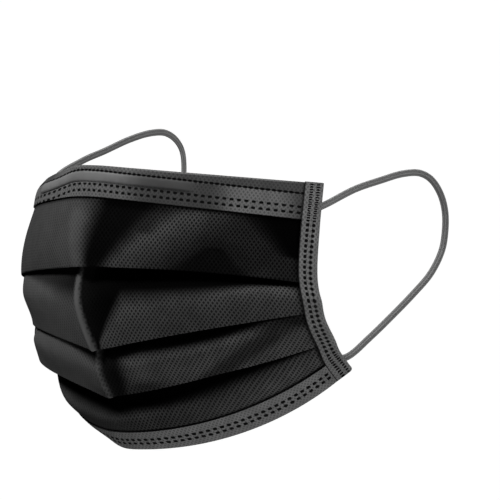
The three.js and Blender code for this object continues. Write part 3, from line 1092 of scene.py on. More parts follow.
            # Painted shade from the dent, or painted highlight where its shade is negative.
            dark = np.minimum(dent.shade * smoothstep(*self.dent_shade, bell), 1)
            shade = np.maximum(shade, dark)
            painted_highlight = np.maximum(painted_highlight, -dark)
        if index == 0:
            depth *= smoothstep(0, self.dent_fade, share)
        if index == len(self.panels) - 1:
            depth *= 1 - smoothstep(1 - self.dent_fade, 1, share)
        return depth, shade, painted_highlight

    def shade(self, index: int, columns: Columns, length: np.ndarray) -> np.ndarray:
        """Painted shade and painted highlight of a panel's cloth.

        Args:
            index: the panel's number.
            columns: the columns that are looked at.
            length: lengths down them, rows x columns.

        Returns:
            1 for painted shade in dents, beside the trims and in the mouth of the pleat above, 0 in the open
            and down to -1 for painted highlight.
        """
        panel = self.panels[index]
        start, end = columns.length_at(panel.start), columns.length_at(panel.end)
        _, shade, painted_highlight = self.dented(index, columns, (length - start) / (end - start))
        # Painted shade beside the side bindings, in the pleat's mouth and along the hems, which painted
        # highlight hides.
        shade = np.maximum(shade, smoothstep(*self.bound, columns.reach))
        if index:
            reach = np.maximum(self.profile(self.pleats[index - 1].shade, columns), 0.1)
            shade = np.maximum(shade, 1 - smoothstep(*self.mouth_shadow, (length - start) / reach))
        else:
            shade = np.maximum(shade, 1 - smoothstep(*self.hem_shadow, np.abs(length - start)))
        if index == len(self.panels) - 1:
            shade = np.maximum(shade, 1 - smoothstep(*self.bottom_shadow, np.abs(length - end)))
        return shade * (1 - np.minimum(self.highlight_over * painted_highlight, 1)) - painted_highlight

    def outwards(self, index: int, columns: Columns, length: np.ndarray) -> np.ndarray:
        """How far the middle of a panel lies outside the smooth form.

        Below its pleat line a panel starts one recess behind the panel above, comes back to the form within
        the settle share, and swells as a half sine. Above the line it follows the panel in front.

        Args:
            index: the panel's number.
            columns: the columns that are looked at.
            length: lengths down them, rows x columns.

        Returns:
            The distance outwards, rows x columns.
        """
        panel = self.panels[index]
        start, end = columns.length_at(panel.start), columns.length_at(panel.end)
        share = (length - start) / (end - start)
        inside = np.clip(share, 0, 1)
        base = np.zeros(np.broadcast(share, start).shape)
        if index:
            recess = self.profile(self.pleats[index - 1].recess, columns)
            settling = 1 - smoothstep(0, panel.settle, inside)
            below = (self.outwards(index - 1, columns, start) - recess) * settling
            above = self.outwards(index - 1, columns, length) - recess
            base = np.where(length < start, above, below)
        fade = 1 - smoothstep(*self.swell_fade, columns.reach)
        cheek = np.exp(-(((columns.across[None, :] - self.cheek_place) / self.cheek_width) ** 2))
        swell = (panel.swell * fade + panel.cheek * cheek) * np.sin(np.pi * inside)
        return base + swell - self.dented(index, columns, share)[0] * fade

    def fold(
        self, index: int, columns: Columns, end: np.ndarray
    ) -> tuple[list[tuple[np.ndarray, ...]], np.ndarray]:
        """Fold under a panel's lower edge.

        The cloth turns under in a half circle, climbs back behind itself while the gap grows with the square
        root of the climb's cube, and turns down again in a second half circle.

        Args:
            index: number of the panel that ends here.
            columns: the columns that are followed.
            end: lengths at which the fold starts, as one row.

        Returns:
            The three stretches as path gives them, and the lengths at which the next panel starts.
        """
        edge, back, pleat = self.edge_fold, self.back_fold, self.pleats[index]
        turn = np.linspace(0, np.pi, self.arc_parts + 1)[:, None]
        recess = self.profile(pleat.recess, columns)
        head = end + edge - between(*pleat.tuck, columns.reach) + back
        share = shares(self.tuck_rows)[1:-1]
        climb = between(end, head, share)
        gap = 2 * edge + (recess - 2 * edge - 2 * back) * share**1.5
        front = self.outwards(index, columns, end) - edge
        behind = self.outwards(index, columns, head) - recess + back
        under = end + edge * np.sin(turn[1:]), front + edge * np.cos(turn[1:])
        over = head - back * np.sin(turn), behind + back * np.cos(turn)
        # The cloth of the tuck gets full painted shade.
        stretches = [
            (*under, np.broadcast_to(self.shade(index, columns, end), under[0].shape)),
            (climb, self.outwards(index, columns, climb) - gap, np.ones_like(climb)),
            (*over, np.ones_like(over[0])),
        ]
        return stretches, head

    def path(self, columns: Columns) -> tuple[np.ndarray, ...]:
        """Path of the folded cloth down every column.

        It starts under the top hem. Each panel runs down to its pleat edge, where the cloth is folded before
        it goes on as the next panel, and the last one ends under the bottom hem.

        Args:
            columns: the columns that are followed.

        Returns:
            Lengths, distances outwards and painted shade, rows x columns each.
        """
        start, lower_line = columns.length_at(Line.HEM_LINE), columns.length_at(Line.LOWER_LINE)
        upper = between(self.inset, start, shares(self.margin_rows))
        stretches = [(upper, 0 * upper, self.shade(0, columns, upper))]
        for index, panel in enumerate(self.panels):
            folded = index < len(self.pleats)
            end = columns.length_at(panel.end) - (self.edge_fold if folded else 0)
            run = between(start, end, shares(panel.rows)[1:])
            stretches.append((run, self.outwards(index, columns, run), self.shade(index, columns, run)))
            if folded:
                more, start = self.fold(index, columns, end)
                stretches += more
        bottom = columns.length_at(Line.BOTTOM_EDGE) - self.inset
        lower = between(lower_line, bottom, shares(self.margin_rows)[1:])
        stretches.append((lower, 0 * lower, 0 * lower))
        return tuple(np.concatenate(rows) for rows in zip(*stretches))

    def build(self, finish: ClothFinish) -> bpy.types.Object:
        """Args:
            finish: the cloth's finish.

        Returns:
            The finished object.
        """
        limit = (self.form.half_width - self.inset) / self.form.half_width
        columns = self.form.columns(spread(self.columns + 1, limit, self.crowding))
        length, outwards, shade = self.path(columns)
        middle = columns.points(length, outwards)
        down = running_length(middle)
        maps = {"cloth": np.stack([np.broadcast_to(columns.across_mm, down.shape), down], axis=-1)}
        # The shade mark is painted shade, and painted highlight where it is negative.
        skin = wall("pleated_cloth", middle, self.wall, maps, {"shade": shade})
        piece = skin.build(finish.shader(), "cloth", "pleated_panel")
        return piece


@dataclass
class Strip:
    """Strip of trim that is folded over an edge of the panel; wall is its thickness."""

    form: WornForm
    wall: float = 0.45

    def make(self, skin: Skin, finish: TrimFinish, node: str, flat: tuple[float, float]) -> bpy.types.Object:
        """Args:
            skin: the strip's mesh.
            finish: its finish.
            node: the CAD node that it stands for.
            flat: not used.

        Returns:
            The finished object.
        """
        piece = skin.build(finish.shader(), "trim", node)
        return piece


@dataclass
class Hem(Strip):
    """Strip over the top or the bottom edge.

    offset is the distance of its layers from the middle of the panel. spacing and row_spacing are the sizes
    of its quads across and down the mask, fold_parts and inner_rows the rows of its fold and of its inner
    leg, and hidden is how far short of the side edge it ends, inside the side binding.
    """

    offset: float = 0.6
    spacing: float = 0.33
    row_spacing: float = 0.21
    fold_parts: int = 12
    inner_rows: int = 15
    hidden: float = 4.6

    @property
    def inset(self) -> float:
        """Distance from the mask's edge to the start of the fold."""
        return self.offset + self.wall / 2

    @property
    def limit(self) -> float:
        """Share of the half width up to which the hem runs."""
        return (self.form.half_width - self.hidden) / self.form.half_width

    @property
    def length(self) -> float:
        """Length of the hem in millimetres."""
        return 2 * self.limit * self.form.half_width

    def across_columns(self) -> Columns:
        """Evenly spaced columns all over the hem's length."""
        return self.form.columns(spread(int(self.length / self.spacing) + 1, self.limit))

    def folded(
        self,
        leg: np.ndarray,
        front: np.ndarray,
        edge: Union[np.ndarray, float],
        end: Union[np.ndarray, float],
        way: int,
    ) -> tuple[np.ndarray, np.ndarray]:
        """Path of a hem down its outer leg, round the edge of the panel and back along the inside.

        The fold is half a circle of the offset as its radius.

        Args:
            leg: lengths down the columns on the outer leg, rows x columns.
            front: distances outwards of that leg.
            edge: length at which the fold starts.
            end: length at which the inner leg ends.
            way: 1 round a lower edge and -1 round an upper one.

        Returns:
            Lengths and distances outwards, rows x columns each.
        """
        row = np.zeros(leg.shape[1])
        turn = np.linspace(0, np.pi, self.fold_parts + 1)[1:, None]
        fold = edge + way * self.offset * np.sin(turn) + row
        inner = between(edge, end, shares(self.inner_rows)[1:]) + row
        outwards = [front, self.offset * np.cos(turn) + row, 0 * inner - self.offset]
        return np.concatenate([leg, fold, inner]), np.concatenate(outwards)

    def painted_shade_edges(self, shape: tuple[int, int]) -> np.ndarray:
        """Painted shade: a mark that is 1 on the first and last row, along the strip's two long edges."""
        return np.pad(np.zeros((shape[0] - 2, shape[1])), ((1, 1), (0, 0)), constant_values=1)

    def make_hem(
        self,
        node: str,
        columns: Columns,
        path: tuple[np.ndarray, np.ndarray],
        seam: tuple[np.ndarray, np.ndarray],
        marks: Mapping[str, np.ndarray],
        finish: TrimFinish,
        groove: Union[np.ndarray, float] = 0.0,
        flip: tuple[int, ...] = (),
    ) -> bpy.types.Object:
        """Makes a hem from its path.

        Args:
            node: the CAD node that it stands for.
            columns: the columns that it is built on.
            path: lengths and distances outwards, as folded gives them.
            seam: seam coordinates along and across the strip.
            marks: its attributes.
            finish: its finish.
            groove: depth that is pressed in besides the weld marks.
            flip: axes along which its grid is turned round, as for a wall.

        Returns:
            The finished object.
        """
        middle = columns.points(*path)
        down = running_length(middle)
        across = np.broadcast_to(columns.across_mm, down.shape)
        maps = {"cloth": np.stack([across, down], axis=-1), "seam": np.stack(seam, axis=-1)}
        sunk = finish.pressed(*seam) + groove
        skin = wall(f"{node}_strip", middle, self.wall, maps, marks, sunk, flip)
        return self.make(skin, finish, node, (self.length, float(down[-1].mean())))


@dataclass
class TopHem(Hem):
    """Strip over the top edge, with the pocket of the nose wire and two rows of weld dots.

    The dashed weld lies line_middle below the top edge at the middle, and lower to the sides. The pitch of
    its marks is pitch_middle there and grows with each millimetre; the far values add a bell of wider marks
    and a lower line on the wearer's right. The wire reaches wire_half to each side, lies wire_place below
    the weld and lifts the strip by the relief, beside a narrow groove. rim_dark, shadow_dark and end_dark
    are the strengths of the painted shade on the rim above the weld, on the cloth beside the middle and at
    both ends. Every tuple holds the two places between which something changes: millimetres from the middle
    for wire_ends and groove_ends, from the weld for shadow_below and rim_soft and from the wire's edge for
    wire_round, half widths of the groove for groove_soft, and shares of the half width for the others.
    samples are the steps in which the marks are counted.
    """

    inner_leg: float = 10.0
    line_middle: float = 1.9
    line_growth: float = 2.4
    line_reach: float = 77.0
    line_power: float = 1.1
    pitch_middle: float = 2.15
    pitch_growth: float = 0.0085
    far_place: float = -30.0
    far_half: float = 20.0
    far_hump: float = 3.6
    far_line: float = 0.9
    far_start: tuple[float, float] = (0.02, 0.3)
    wire_half: float = 38.5
    wire_ends: tuple[float, float] = (37.5, 42.5)
    wire_place: float = 2.2
    wire_half_width: float = 1.45
    wire_round: tuple[float, float] = (-0.35, 0.65)
    relief: float = 0.55
    groove_place: float = 4.1
    groove_half: float = 0.16
    groove_soft: tuple[float, float] = (0.4, 1.4)
    groove_ends: tuple[float, float] = (34.5, 38.5)
    groove_depth: float = 0.14
    rim_dark: float = 0.6
    rim_height: float = 6.0
    rim_soft: tuple[float, float] = (-0.4, 0.1)
    rim_start: tuple[float, float] = (0.0, 0.4)
    shadow_dark: float = 0.64
    shadow_start: tuple[float, float] = (0.0, 0.3)
    shadow_end: tuple[float, float] = (0.53, 0.74)
    shadow_below: tuple[float, float] = (-0.1, 0.5)
    end_dark: float = 0.65
    end_start: tuple[float, float] = (0.72, 0.94)
    samples: int = 1601

    def line_length(self, columns: Columns) -> np.ndarray:
        """Length from the top edge to the dashed weld.

        Args:
            columns: the columns that are looked at.

        Returns:
            One row of lengths, which grow with a power of the distance from the middle, more so on the right.
        """
        reach = columns.reach_mm / self.line_reach
        far = self.far_line * smoothstep(*self.far_start, -columns.across)[None, :]
        return self.line_middle + self.line_growth * reach**self.line_power + far

    def phase(self, across: np.ndarray) -> np.ndarray:
        """Marks from the middle to a place, at a pitch that grows slowly, and on the right with a hump.

        Args:
            across: places in millimetres from the middle.

        Returns:
            The integral of 1 / pitch from the middle to each place.
        """
        steps = np.linspace(-1, 1, self.samples) * self.form.half_width
        hump = self.far_hump * np.exp(-(((steps - self.far_place) / self.far_half) ** 2)) * (steps < 0)
        pitch = self.pitch_middle + self.pitch_growth * np.abs(steps) + hump
        count = np.cumsum((steps[1] - steps[0]) / pitch)
        return np.interp(across, steps, count - np.interp(0, steps, count))

    def wire_cover(self, columns: Columns, place: np.ndarray) -> np.ndarray:
        """Share of the wire's relief.

        Args:
            columns: the columns that are looked at.
            place: distances below the dashed weld, rows x columns.

        Returns:
            1 over the wire, rounded down to 0 beside it and past its ends.
        """
        ends = 1 - smoothstep(*self.wire_ends, columns.reach_mm)
        away = np.abs(place - self.wire_place) - self.wire_half_width
        return ends * (1 - smoothstep(*self.wire_round, away))

    def groove(self, columns: Columns, below: np.ndarray) -> np.ndarray:
        """Depth of the groove along the wire.

        Args:
            columns: the columns that are looked at.
            below: distances below the dashed weld, rows x columns.

        Returns:
            The depth in millimetres, with soft edges and ends.
        """
        ends = 1 - smoothstep(*self.groove_ends, columns.reach_mm)
        away = np.abs(below - self.groove_place) / self.groove_half
        return self.groove_depth * (1 - smoothstep(*self.groove_soft, away)) * ends

    def darkness(self, columns: Columns, below: np.ndarray) -> np.ndarray:
        """Painted shade of the strip's cloth.

        Args:
            columns: the columns that are looked at.
            below: distances below the dashed weld, rows x columns.

        Returns:
            1 on the strip's edges, less on the rim above the weld, at both ends and beside the middle, all of
            it painted shade.
        """
        # Painted shade on the rim above the weld, at both ends beside the side bindings and beside the
        # middle.
        rim = (1 - smoothstep(*self.rim_soft, below)) * (below > -self.rim_height)
        rim = self.rim_dark * rim * smoothstep(*self.rim_start, columns.reach)
        beside = self.end_dark * smoothstep(*self.end_start, columns.reach)
        start, end = (smoothstep(*places, columns.across) for places in (self.shadow_start, self.shadow_end))
        shadow = self.shadow_dark * start * (1 - end) * smoothstep(*self.shadow_below, below)
        return np.maximum(np.maximum(self.painted_shade_edges(below.shape), rim), np.maximum(beside, shadow))

    def build(self, finish: TrimFinish) -> bpy.types.Object:
        """Makes the strip from its lower edge up the outside, over the fold and down the inside.

        Args:
            finish: the strip's finish.

        Returns:
            The finished object.
        """
        columns = self.across_columns()
        hem_line = columns.length_at(Line.HEM_LINE)
        rows = int(hem_line.mean() / self.row_spacing)
        leg = between(hem_line, self.inset, shares(rows - 1))
        place = leg - self.line_length(columns)
        cover = self.wire_cover(columns, place)
        path = self.folded(leg, self.offset + self.relief * cover, self.inset, self.inner_leg, -1)
        below = continued(place, len(path[0]), OFF_SEAM)
        phase = np.broadcast_to(self.phase(columns.across_mm), below.shape)
        # The first mark is painted shade; the second marks the cloth ironed over the wire, which loses its
        # emboss and gets a painted highlight.
        marks = {"cut": self.darkness(columns, below), "ironed": continued(cover, len(below), 0)}
        groove = self.groove(columns, below)
        return self.make_hem("top_hem", columns, path, (phase, below), marks, finish, groove, flip=(0,))


@dataclass
class NoseWire:
    """Flat wire in the pocket of the top hem, smaller than the pocket by the two gaps all round.

    outwards is how far its middle lies outside the smooth form, and grid its rows and columns of points.
    """

    form: WornForm
    hem: TopHem
    thickness: float = 0.4
    outwards: float = 0.56
    end_gap: float = 0.6
    side_gap: float = 0.15
    grid: tuple[int, int] = (7, 121)

    def build(self, finish: WireFinish) -> bpy.types.Object:
        """Makes the wire along the middle of the pocket.

        Args:
            finish: the wire's finish.

        Returns:
            The finished object.
        """
        rows, count = self.grid
        columns = self.form.columns(spread(count, (self.hem.wire_half - self.end_gap) / self.form.half_width))
        half = (self.hem.wire_half_width - self.side_gap) * np.linspace(-1, 1, rows)[:, None]
        length = self.hem.line_length(columns) + self.hem.wire_place + half
        middle = columns.points(length, self.outwards)
        maps = {"cloth": np.stack([np.broadcast_to(columns.across_mm, length.shape), length], axis=-1)}
        skin = wall("flat_nose_wire", middle, self.thickness, maps)
        return skin.build(finish.shader(), "wire", "nose_wire")


@dataclass
class BottomHem(Hem):
    """Strip over the bottom edge, with two rows of weld dots at fixed shares of its nominal width."""

    pitch: float = 2.62
    nominal: float = 9.35

    def build(self, finish: TrimFinish) -> bpy.types.Object:
        """Makes the strip from its upper edge down the outside, round the fold and up the inside.

        Args:
            finish: the strip's finish.

        Returns:
            The finished object.
        """
        columns = self.across_columns()
        top, bottom = columns.length_at(Line.LOWER_LINE), columns.length_at(Line.BOTTOM_EDGE) - self.inset
        rows = int((bottom - top).mean() / self.row_spacing)
        leg = between(top, bottom, shares(rows - 1))
        path = self.folded(leg, np.full(leg.shape, self.offset), bottom, top, 1)
        above = self.nominal * (bottom + self.inset - leg) / (bottom + self.inset - top)
        above = continued(above, len(path[0]), OFF_SEAM)
        seam = np.broadcast_to(columns.across_mm / self.pitch, above.shape), above
        # Painted shade along the strip's edges.
        return self.make_hem("bottom_hem", columns, path, seam, {"cut": self.painted_shade_edges(above.shape)}, finish)


@dataclass
class SideBinding(Strip):
    """Strip folded over a side edge, over the ends of the hems, with two rows of weld dots.

    width is the breadth of a leg. The rows of welds draw together towards the upper and the lower end by the
    shares of seam_spread, over spread_zone of the height. end_cut is how much the lower end is shortened at
    the inner edge and at the side edge, from cut_zone of the height on. outer and inner are the distances of
    the legs from the smooth form, the inner one larger by the bundle, which is whole from the first of
    bundle_ends above the first pleat line to the second below the last. bend is where the fold starts, from
    the side edge, and depth its nominal half depth. The distance between welds grows from end_pitch to pitch
    over upper_zone, counted from the top, and falls to last_pitch over lower_zone, counted from the lower
    end; samples are the steps in which the welds are counted. ironing is how often the lengthwise lines are
    smoothed.
    """

    side: Side = Side.LEFT
    width: float = 7.35
    seam_spread: tuple[float, float] = (0.14, 0.22)
    spread_zone: float = 0.25
    end_cut: tuple[float, float] = (1.1, 0.5)
    cut_zone: float = 0.9
    outer: float = 1.15
    inner: float = 1.55
    bundle: float = 1.3
    bundle_ends: tuple[float, float] = (8.0, 1.0)
    bend: float = 1.5
    depth: float = 1.35
    pitch: float = 1.92
    end_pitch: float = 0.9
    last_pitch: float = 1.6
    upper_zone: tuple[float, float] = (14.0, 16.0)
    lower_zone: tuple[float, float] = (16.0, 11.0)
    samples: int = 800
    ironing: int = 300
    row_spacing: float = 0.24
    leg_columns: int = 30
    turn_columns: int = 13
    back_columns: int = 12

    def phase(self, along: np.ndarray, total: float) -> np.ndarray:
        """Marks counted down the strip: pitch in the middle, end_pitch and last_pitch in the end zones.

        Args:
            along: lengths down the strip.
            total: its whole length.

        Returns:
            The integral of 1 / pitch from the top to each length.
        """
        steps = np.linspace(0, total, self.samples)
        pitch = between(self.end_pitch, self.pitch, smoothstep(*self.upper_zone, steps))
        pitch = pitch - (self.pitch - self.last_pitch) * smoothstep(*self.lower_zone, total - steps)
        count = np.concatenate([[0], np.cumsum(np.diff(steps) / pitch[1:])])
        return np.interp(along, steps, count)

    def section(self) -> tuple[np.ndarray, np.ndarray]:
        """Cross-section of the strip: two straight legs joined by half an ellipse.

        Returns:
            Distances from the middle of the mask, and places between the inner leg at -1 and the outer at 1.
        """
        start, bend = self.form.half_width - self.width, self.form.half_width - self.bend
        turn = np.linspace(0, np.pi, self.turn_columns + 2)[1:-1]
        fold = bend + (self.bend - self.wall / 2) * np.sin(turn)
        leg, back = np.linspace(start, bend, self.leg_columns), np.linspace(bend, start, self.back_columns)
        curve = np.concatenate([np.ones_like(leg), np.cos(turn), -np.ones_like(back)])
        return np.concatenate([leg, fold, back]), curve

    def middle(
        self, columns: Columns, length: np.ndarray, distance: np.ndarray, curve: np.ndarray
    ) -> np.ndarray:
        """Middle points of the strip, with lengthwise lines that are ironed smooth.

        Args:
            columns: the columns that it is built on.
            length: lengths down them, rows x columns.
            distance: distance down the middle of the mask of every row.
            curve: the section's places between the two legs.

        Returns:
            Points, rows x columns x 3.
        """
        levels, (before, after) = self.form.distances, self.bundle_ends
        thick = smoothstep(levels[Line.HEM_LINE], levels[Line.PLEAT_1] - before, distance)
        thick = thick * (1 - smoothstep(levels[Line.PLEAT_3] + after, levels[Line.LOWER_LINE], distance))
        inner = (self.inner + self.bundle * thick)[:, None]
        points = columns.points(length, (self.outer - inner) / 2 + (self.outer + inner) / 2 * curve[None, :])
        for _ in range(self.ironing):
            points[1:-1] = (points[:-2] + 2 * points[1:-1] + points[2:]) / 4
        return points

    def build(self, finish: TrimFinish) -> bpy.types.Object:
        """Makes the strip from its inner edge on the outside, round the side edge and back on the inside.

        Args:
            finish: the strip's finish.

        Returns:
            The finished object.
        """
        form, side = self.form, self.side
        place, curve = self.section()
        distance = np.linspace(0, form.full, int(form.full / self.row_spacing))
        share = distance / form.full
        columns = form.columns(side.value * place / form.half_width)
        cut_off = between(*self.end_cut, (place - place[0]) / self.width)
        length = columns.length_at(distance) - smoothstep(self.cut_zone, 1, share)[:, None] * cut_off
        middle = self.middle(columns, length, distance, curve)
        ends = self.seam_spread[0] * (1 - smoothstep(0, self.spread_zone, share))
        ends += self.seam_spread[1] * (1 - smoothstep(0, self.spread_zone, 1 - share))
        from_edge = continued(place[: self.leg_columns] - place[0], len(place), OFF_SEAM)
        total = float(length[-1].mean())
        phase = np.broadcast_to(self.phase(length.mean(axis=1), total)[:, None], length.shape)
        seam = phase, from_edge[None, :] * (1 - ends[:, None])
        around = np.cumsum(np.hypot(*np.gradient(np.stack([place, self.depth * curve]), axis=1)))
        around = np.broadcast_to(around, length.shape)
        maps = {"cloth": np.stack([around, length], axis=-1), "seam": np.stack(seam, axis=-1)}
        # Painted shade along the strip's edges: the first two columns, the last one and the first and last
        # rows.
        cut = np.pad(np.zeros((len(distance) - 2, len(place) - 3)), ((1, 1), (2, 1)), constant_values=1)
        flip = (1,) if side is Side.RIGHT else ()
        name, sunk = f"side_binding_strip_{side.word}", finish.pressed(*seam)
        skin = wall(name, middle, self.wall, maps, {"cut": cut}, sunk, flip)
        breadth = float(running_length(middle.transpose(1, 0, 2))[-1].mean())
        return self.make(skin, finish, f"side_binding_{side.word}", (breadth, total))


@dataclass
class EarLoop:
    """Flat knitted elastic from one end of a side binding to the other, round the ear.

    facing is the way its flat side looks. Both ends are pressed flat over end_zone, which makes them wider
    and thinner by the two shares of pressed. roundness is the power that squares its oval section.
    """

    side: Side
    route: Sequence[tuple[float, float, float]]
    facing: tuple[float, float, float]
    width: float = 2.5
    thickness: float = 1.3
    section_points: int = 24
    ring_spacing: float = 0.8
    end_zone: tuple[float, float] = (3, 8)
    pressed: tuple[float, float] = (0.35, 0.1)
    roundness: float = 0.85
    samples: int = 1200

    def centreline(self) -> np.ndarray:
        """Smooth curve through the route's points.

        It is a centripetal Catmull-Rom curve: knots lie the square root of the chord apart, and each point
        is three rounds of straight blending between knots.

        Returns:
            Points at even spacing along the curve.
        """
        points = np.array(self.route, float)
        points = np.concatenate([[2 * points[0] - points[1]], points, [2 * points[-1] - points[-2]]])
        knots = np.concatenate([[0], np.cumsum(np.linalg.norm(np.diff(points, axis=0), axis=1) ** 0.5)])
        t = np.linspace(knots[1], knots[-2], self.samples)
        i = np.clip(np.searchsorted(knots, t, side="right") - 1, 1, len(points) - 3)

        def blend(a: np.ndarray, b: np.ndarray, low: np.ndarray, high: np.ndarray) -> np.ndarray:
            """Straight blend of two points between two knots."""
            share = ((t - knots[low]) / (knots[high] - knots[low]))[:, None]
            return a * (1 - share) + b * share

        first = [blend(points[i + k - 1], points[i + k], i + k - 1, i + k) for k in range(3)]
        second = [blend(first[k], first[k + 1], i + k - 1, i + k + 1) for k in range(2)]
        curve = blend(second[0], second[1], i, i + 1)
        run = running_length(curve)
        even = np.linspace(0, run[-1], int(run[-1] / self.ring_spacing) + 1)
        return np.stack([np.interp(even, run, curve[:, axis]) for axis in range(3)], axis=-1)

    def rings(self, centre: np.ndarray, run: np.ndarray, angle: np.ndarray) -> np.ndarray:
        """Rings of the cord round its centreline.

        Each is a flat oval. Its thin axis stays square to the tangent and turns as near as it can to where
        the elastic faces.

        Args:
            centre: points of the centreline.
            run: length up to each of them.
            angle: angles of the points of a ring.

        Returns:
            Points, rings x angles x 3.
        """
        tangent = unit(np.gradient(centre, axis=0))
        facing = np.array(self.facing)
        thin_way = unit(facing - tangent * (tangent @ facing)[:, None])
        broad_way = np.cross(tangent, thin_way)
        near_end = 1 - smoothstep(*self.end_zone, np.minimum(run, run[-1] - run))
        broad = (self.width / 2 * (1 + self.pressed[0] * near_end))[:, None, None]
        thin = (self.thickness / 2 * (1 - self.pressed[1] * near_end))[:, None, None]
        squared = np.sign(np.sin(angle)) * np.abs(np.sin(angle)) ** self.roundness
        rings = centre[:, None] + broad * squared[None, :, None] * broad_way[:, None]
        return rings + thin * np.cos(angle)[None, :, None] * thin_way[:, None]

    def faces(self, count: int) -> np.ndarray:
        """Quads of the cord's side and of its two ends.

        Args:
            count: how many rings it has; the two middle points of its ends come after them.

        Returns:
            Corner numbers, four a quad.
        """
        size = self.section_points
        corner = np.arange(count * size).reshape(count, size)
        turned = np.roll(corner, -1, axis=1)
        sides = np.stack([corner[:-1], turned[:-1], turned[1:], corner[1:]], axis=-1).reshape(-1, 4)
        pairs = np.arange(0, size, 2)
        after = (pairs + 1) % size
        middle = np.full((2, size // 2), [[count * size], [count * size + 1]])
        first = np.stack([corner[0, pairs], middle[0], turned[0, after], turned[0, pairs]], axis=-1)
        last = np.stack([turned[-1, pairs], turned[-1, after], middle[1], corner[-1, pairs]], axis=-1)
        return np.concatenate([sides, first, last])

    def build(self, finish: ElasticFinish) -> bpy.types.Object:
        """Args:
            finish: the elastic's finish.

        Returns:
            The finished object.
        """
        centre = self.centreline()
        run = running_length(centre)
        angle = np.linspace(0, TURN, self.section_points, endpoint=False)
        rings = self.rings(centre, run, angle)
        around, along = np.broadcast_arrays((angle / TURN)[None, :], run[:, None])
        cord_map = np.concatenate([np.stack([around, along], axis=-1).reshape(-1, 2), [[0, 0], [0, run[-1]]]])
        points = np.concatenate([rings.reshape(-1, 3), centre[:1], centre[-1:]])
        skin = Skin(f"ear_loop_elastic_{self.side.word}", points, self.faces(len(centre)), {"cord": cord_map})
        piece = skin.build(finish.shader(), "elastic", f"ear_loop_{self.side.word}")
        centre[0] * MM
        centre * MM
        LOG.info("%s: %.1f mm long", skin.name, run[-1])
        return piece


LEFT_ROUTE = (
    (61.6, 45.6, -11), (63.4, 48.4, -10.2), (65, 53, -8.6), (66, 69, -3), (68, 80.5, 0),
    (69.3, 91, 2.2), (70, 99.7, 2.3), (70, 106.3, -0.4), (70, 111.2, -5.8), (70, 113.5, -12),
    (69.5, 114, -19.6), (69, 112.8, -26), (68, 108, -34), (66.5, 100, -41.4), (64, 89.6, -50.2),
    (62, 81, -57), (60.2, 72, -63.2), (58.9, 63.4, -65.2),
)
RIGHT_ROUTE = (
    (-61.6, 45.6, -11), (-63.4, 47.5, -7.5), (-64.6, 51, -1), (-66.5, 67, 5.3), (-68, 81.5, 9),
    (-69, 96, 13), (-70, 108.5, 15.2), (-70, 116.4, 15.2), (-70, 122, 12.8), (-70, 125.6, 8.8),
    (-70, 126.8, 3), (-69.5, 125, -8), (-69, 120.5, -19), (-68, 113, -30.5), (-66.5, 103, -40.5),
    (-64.5, 91.5, -49.5), (-62, 81, -57), (-60.2, 71, -62.6), (-58.9, 63.4, -65.2),
)


# ------------------------------------------------------------------------------------------------
# Studio
# ------------------------------------------------------------------------------------------------


@dataclass(frozen=True)
class Lamp:
    """Soft square light.

    bearing is counted from the front towards the wearer's left and height up from level, in degrees. power is
    in watts, and size and distance are in metres.
    """

    name: str
    bearing: float
    height: float
    power: float
    size: float
    distance: float = 1.2

    def build(self, centre: Vector) -> None:
        """Makes the light.

        Args:
            centre: the point that it shines at.
        """
        light = bpy.data.lights.new(self.name, "AREA")
        light.energy, light.size = self.power, self.size
        lamp = link(self.name, light)
        towards = bearing_vector(self.bearing, self.height)
        lamp.location = centre + towards * self.distance
        lamp.rotation_euler = towards.to_track_quat("Z", "Y").to_euler()


def bearing_vector(bearing: float, height: float) -> Vector:
    """Unit vector towards a bearing from the front to the wearer's left and a height, in degrees."""
    a, e = math.radians(bearing), math.radians(height)
    return Vector((math.sin(a) * math.cos(e), -math.cos(a) * math.cos(e), math.sin(e)))


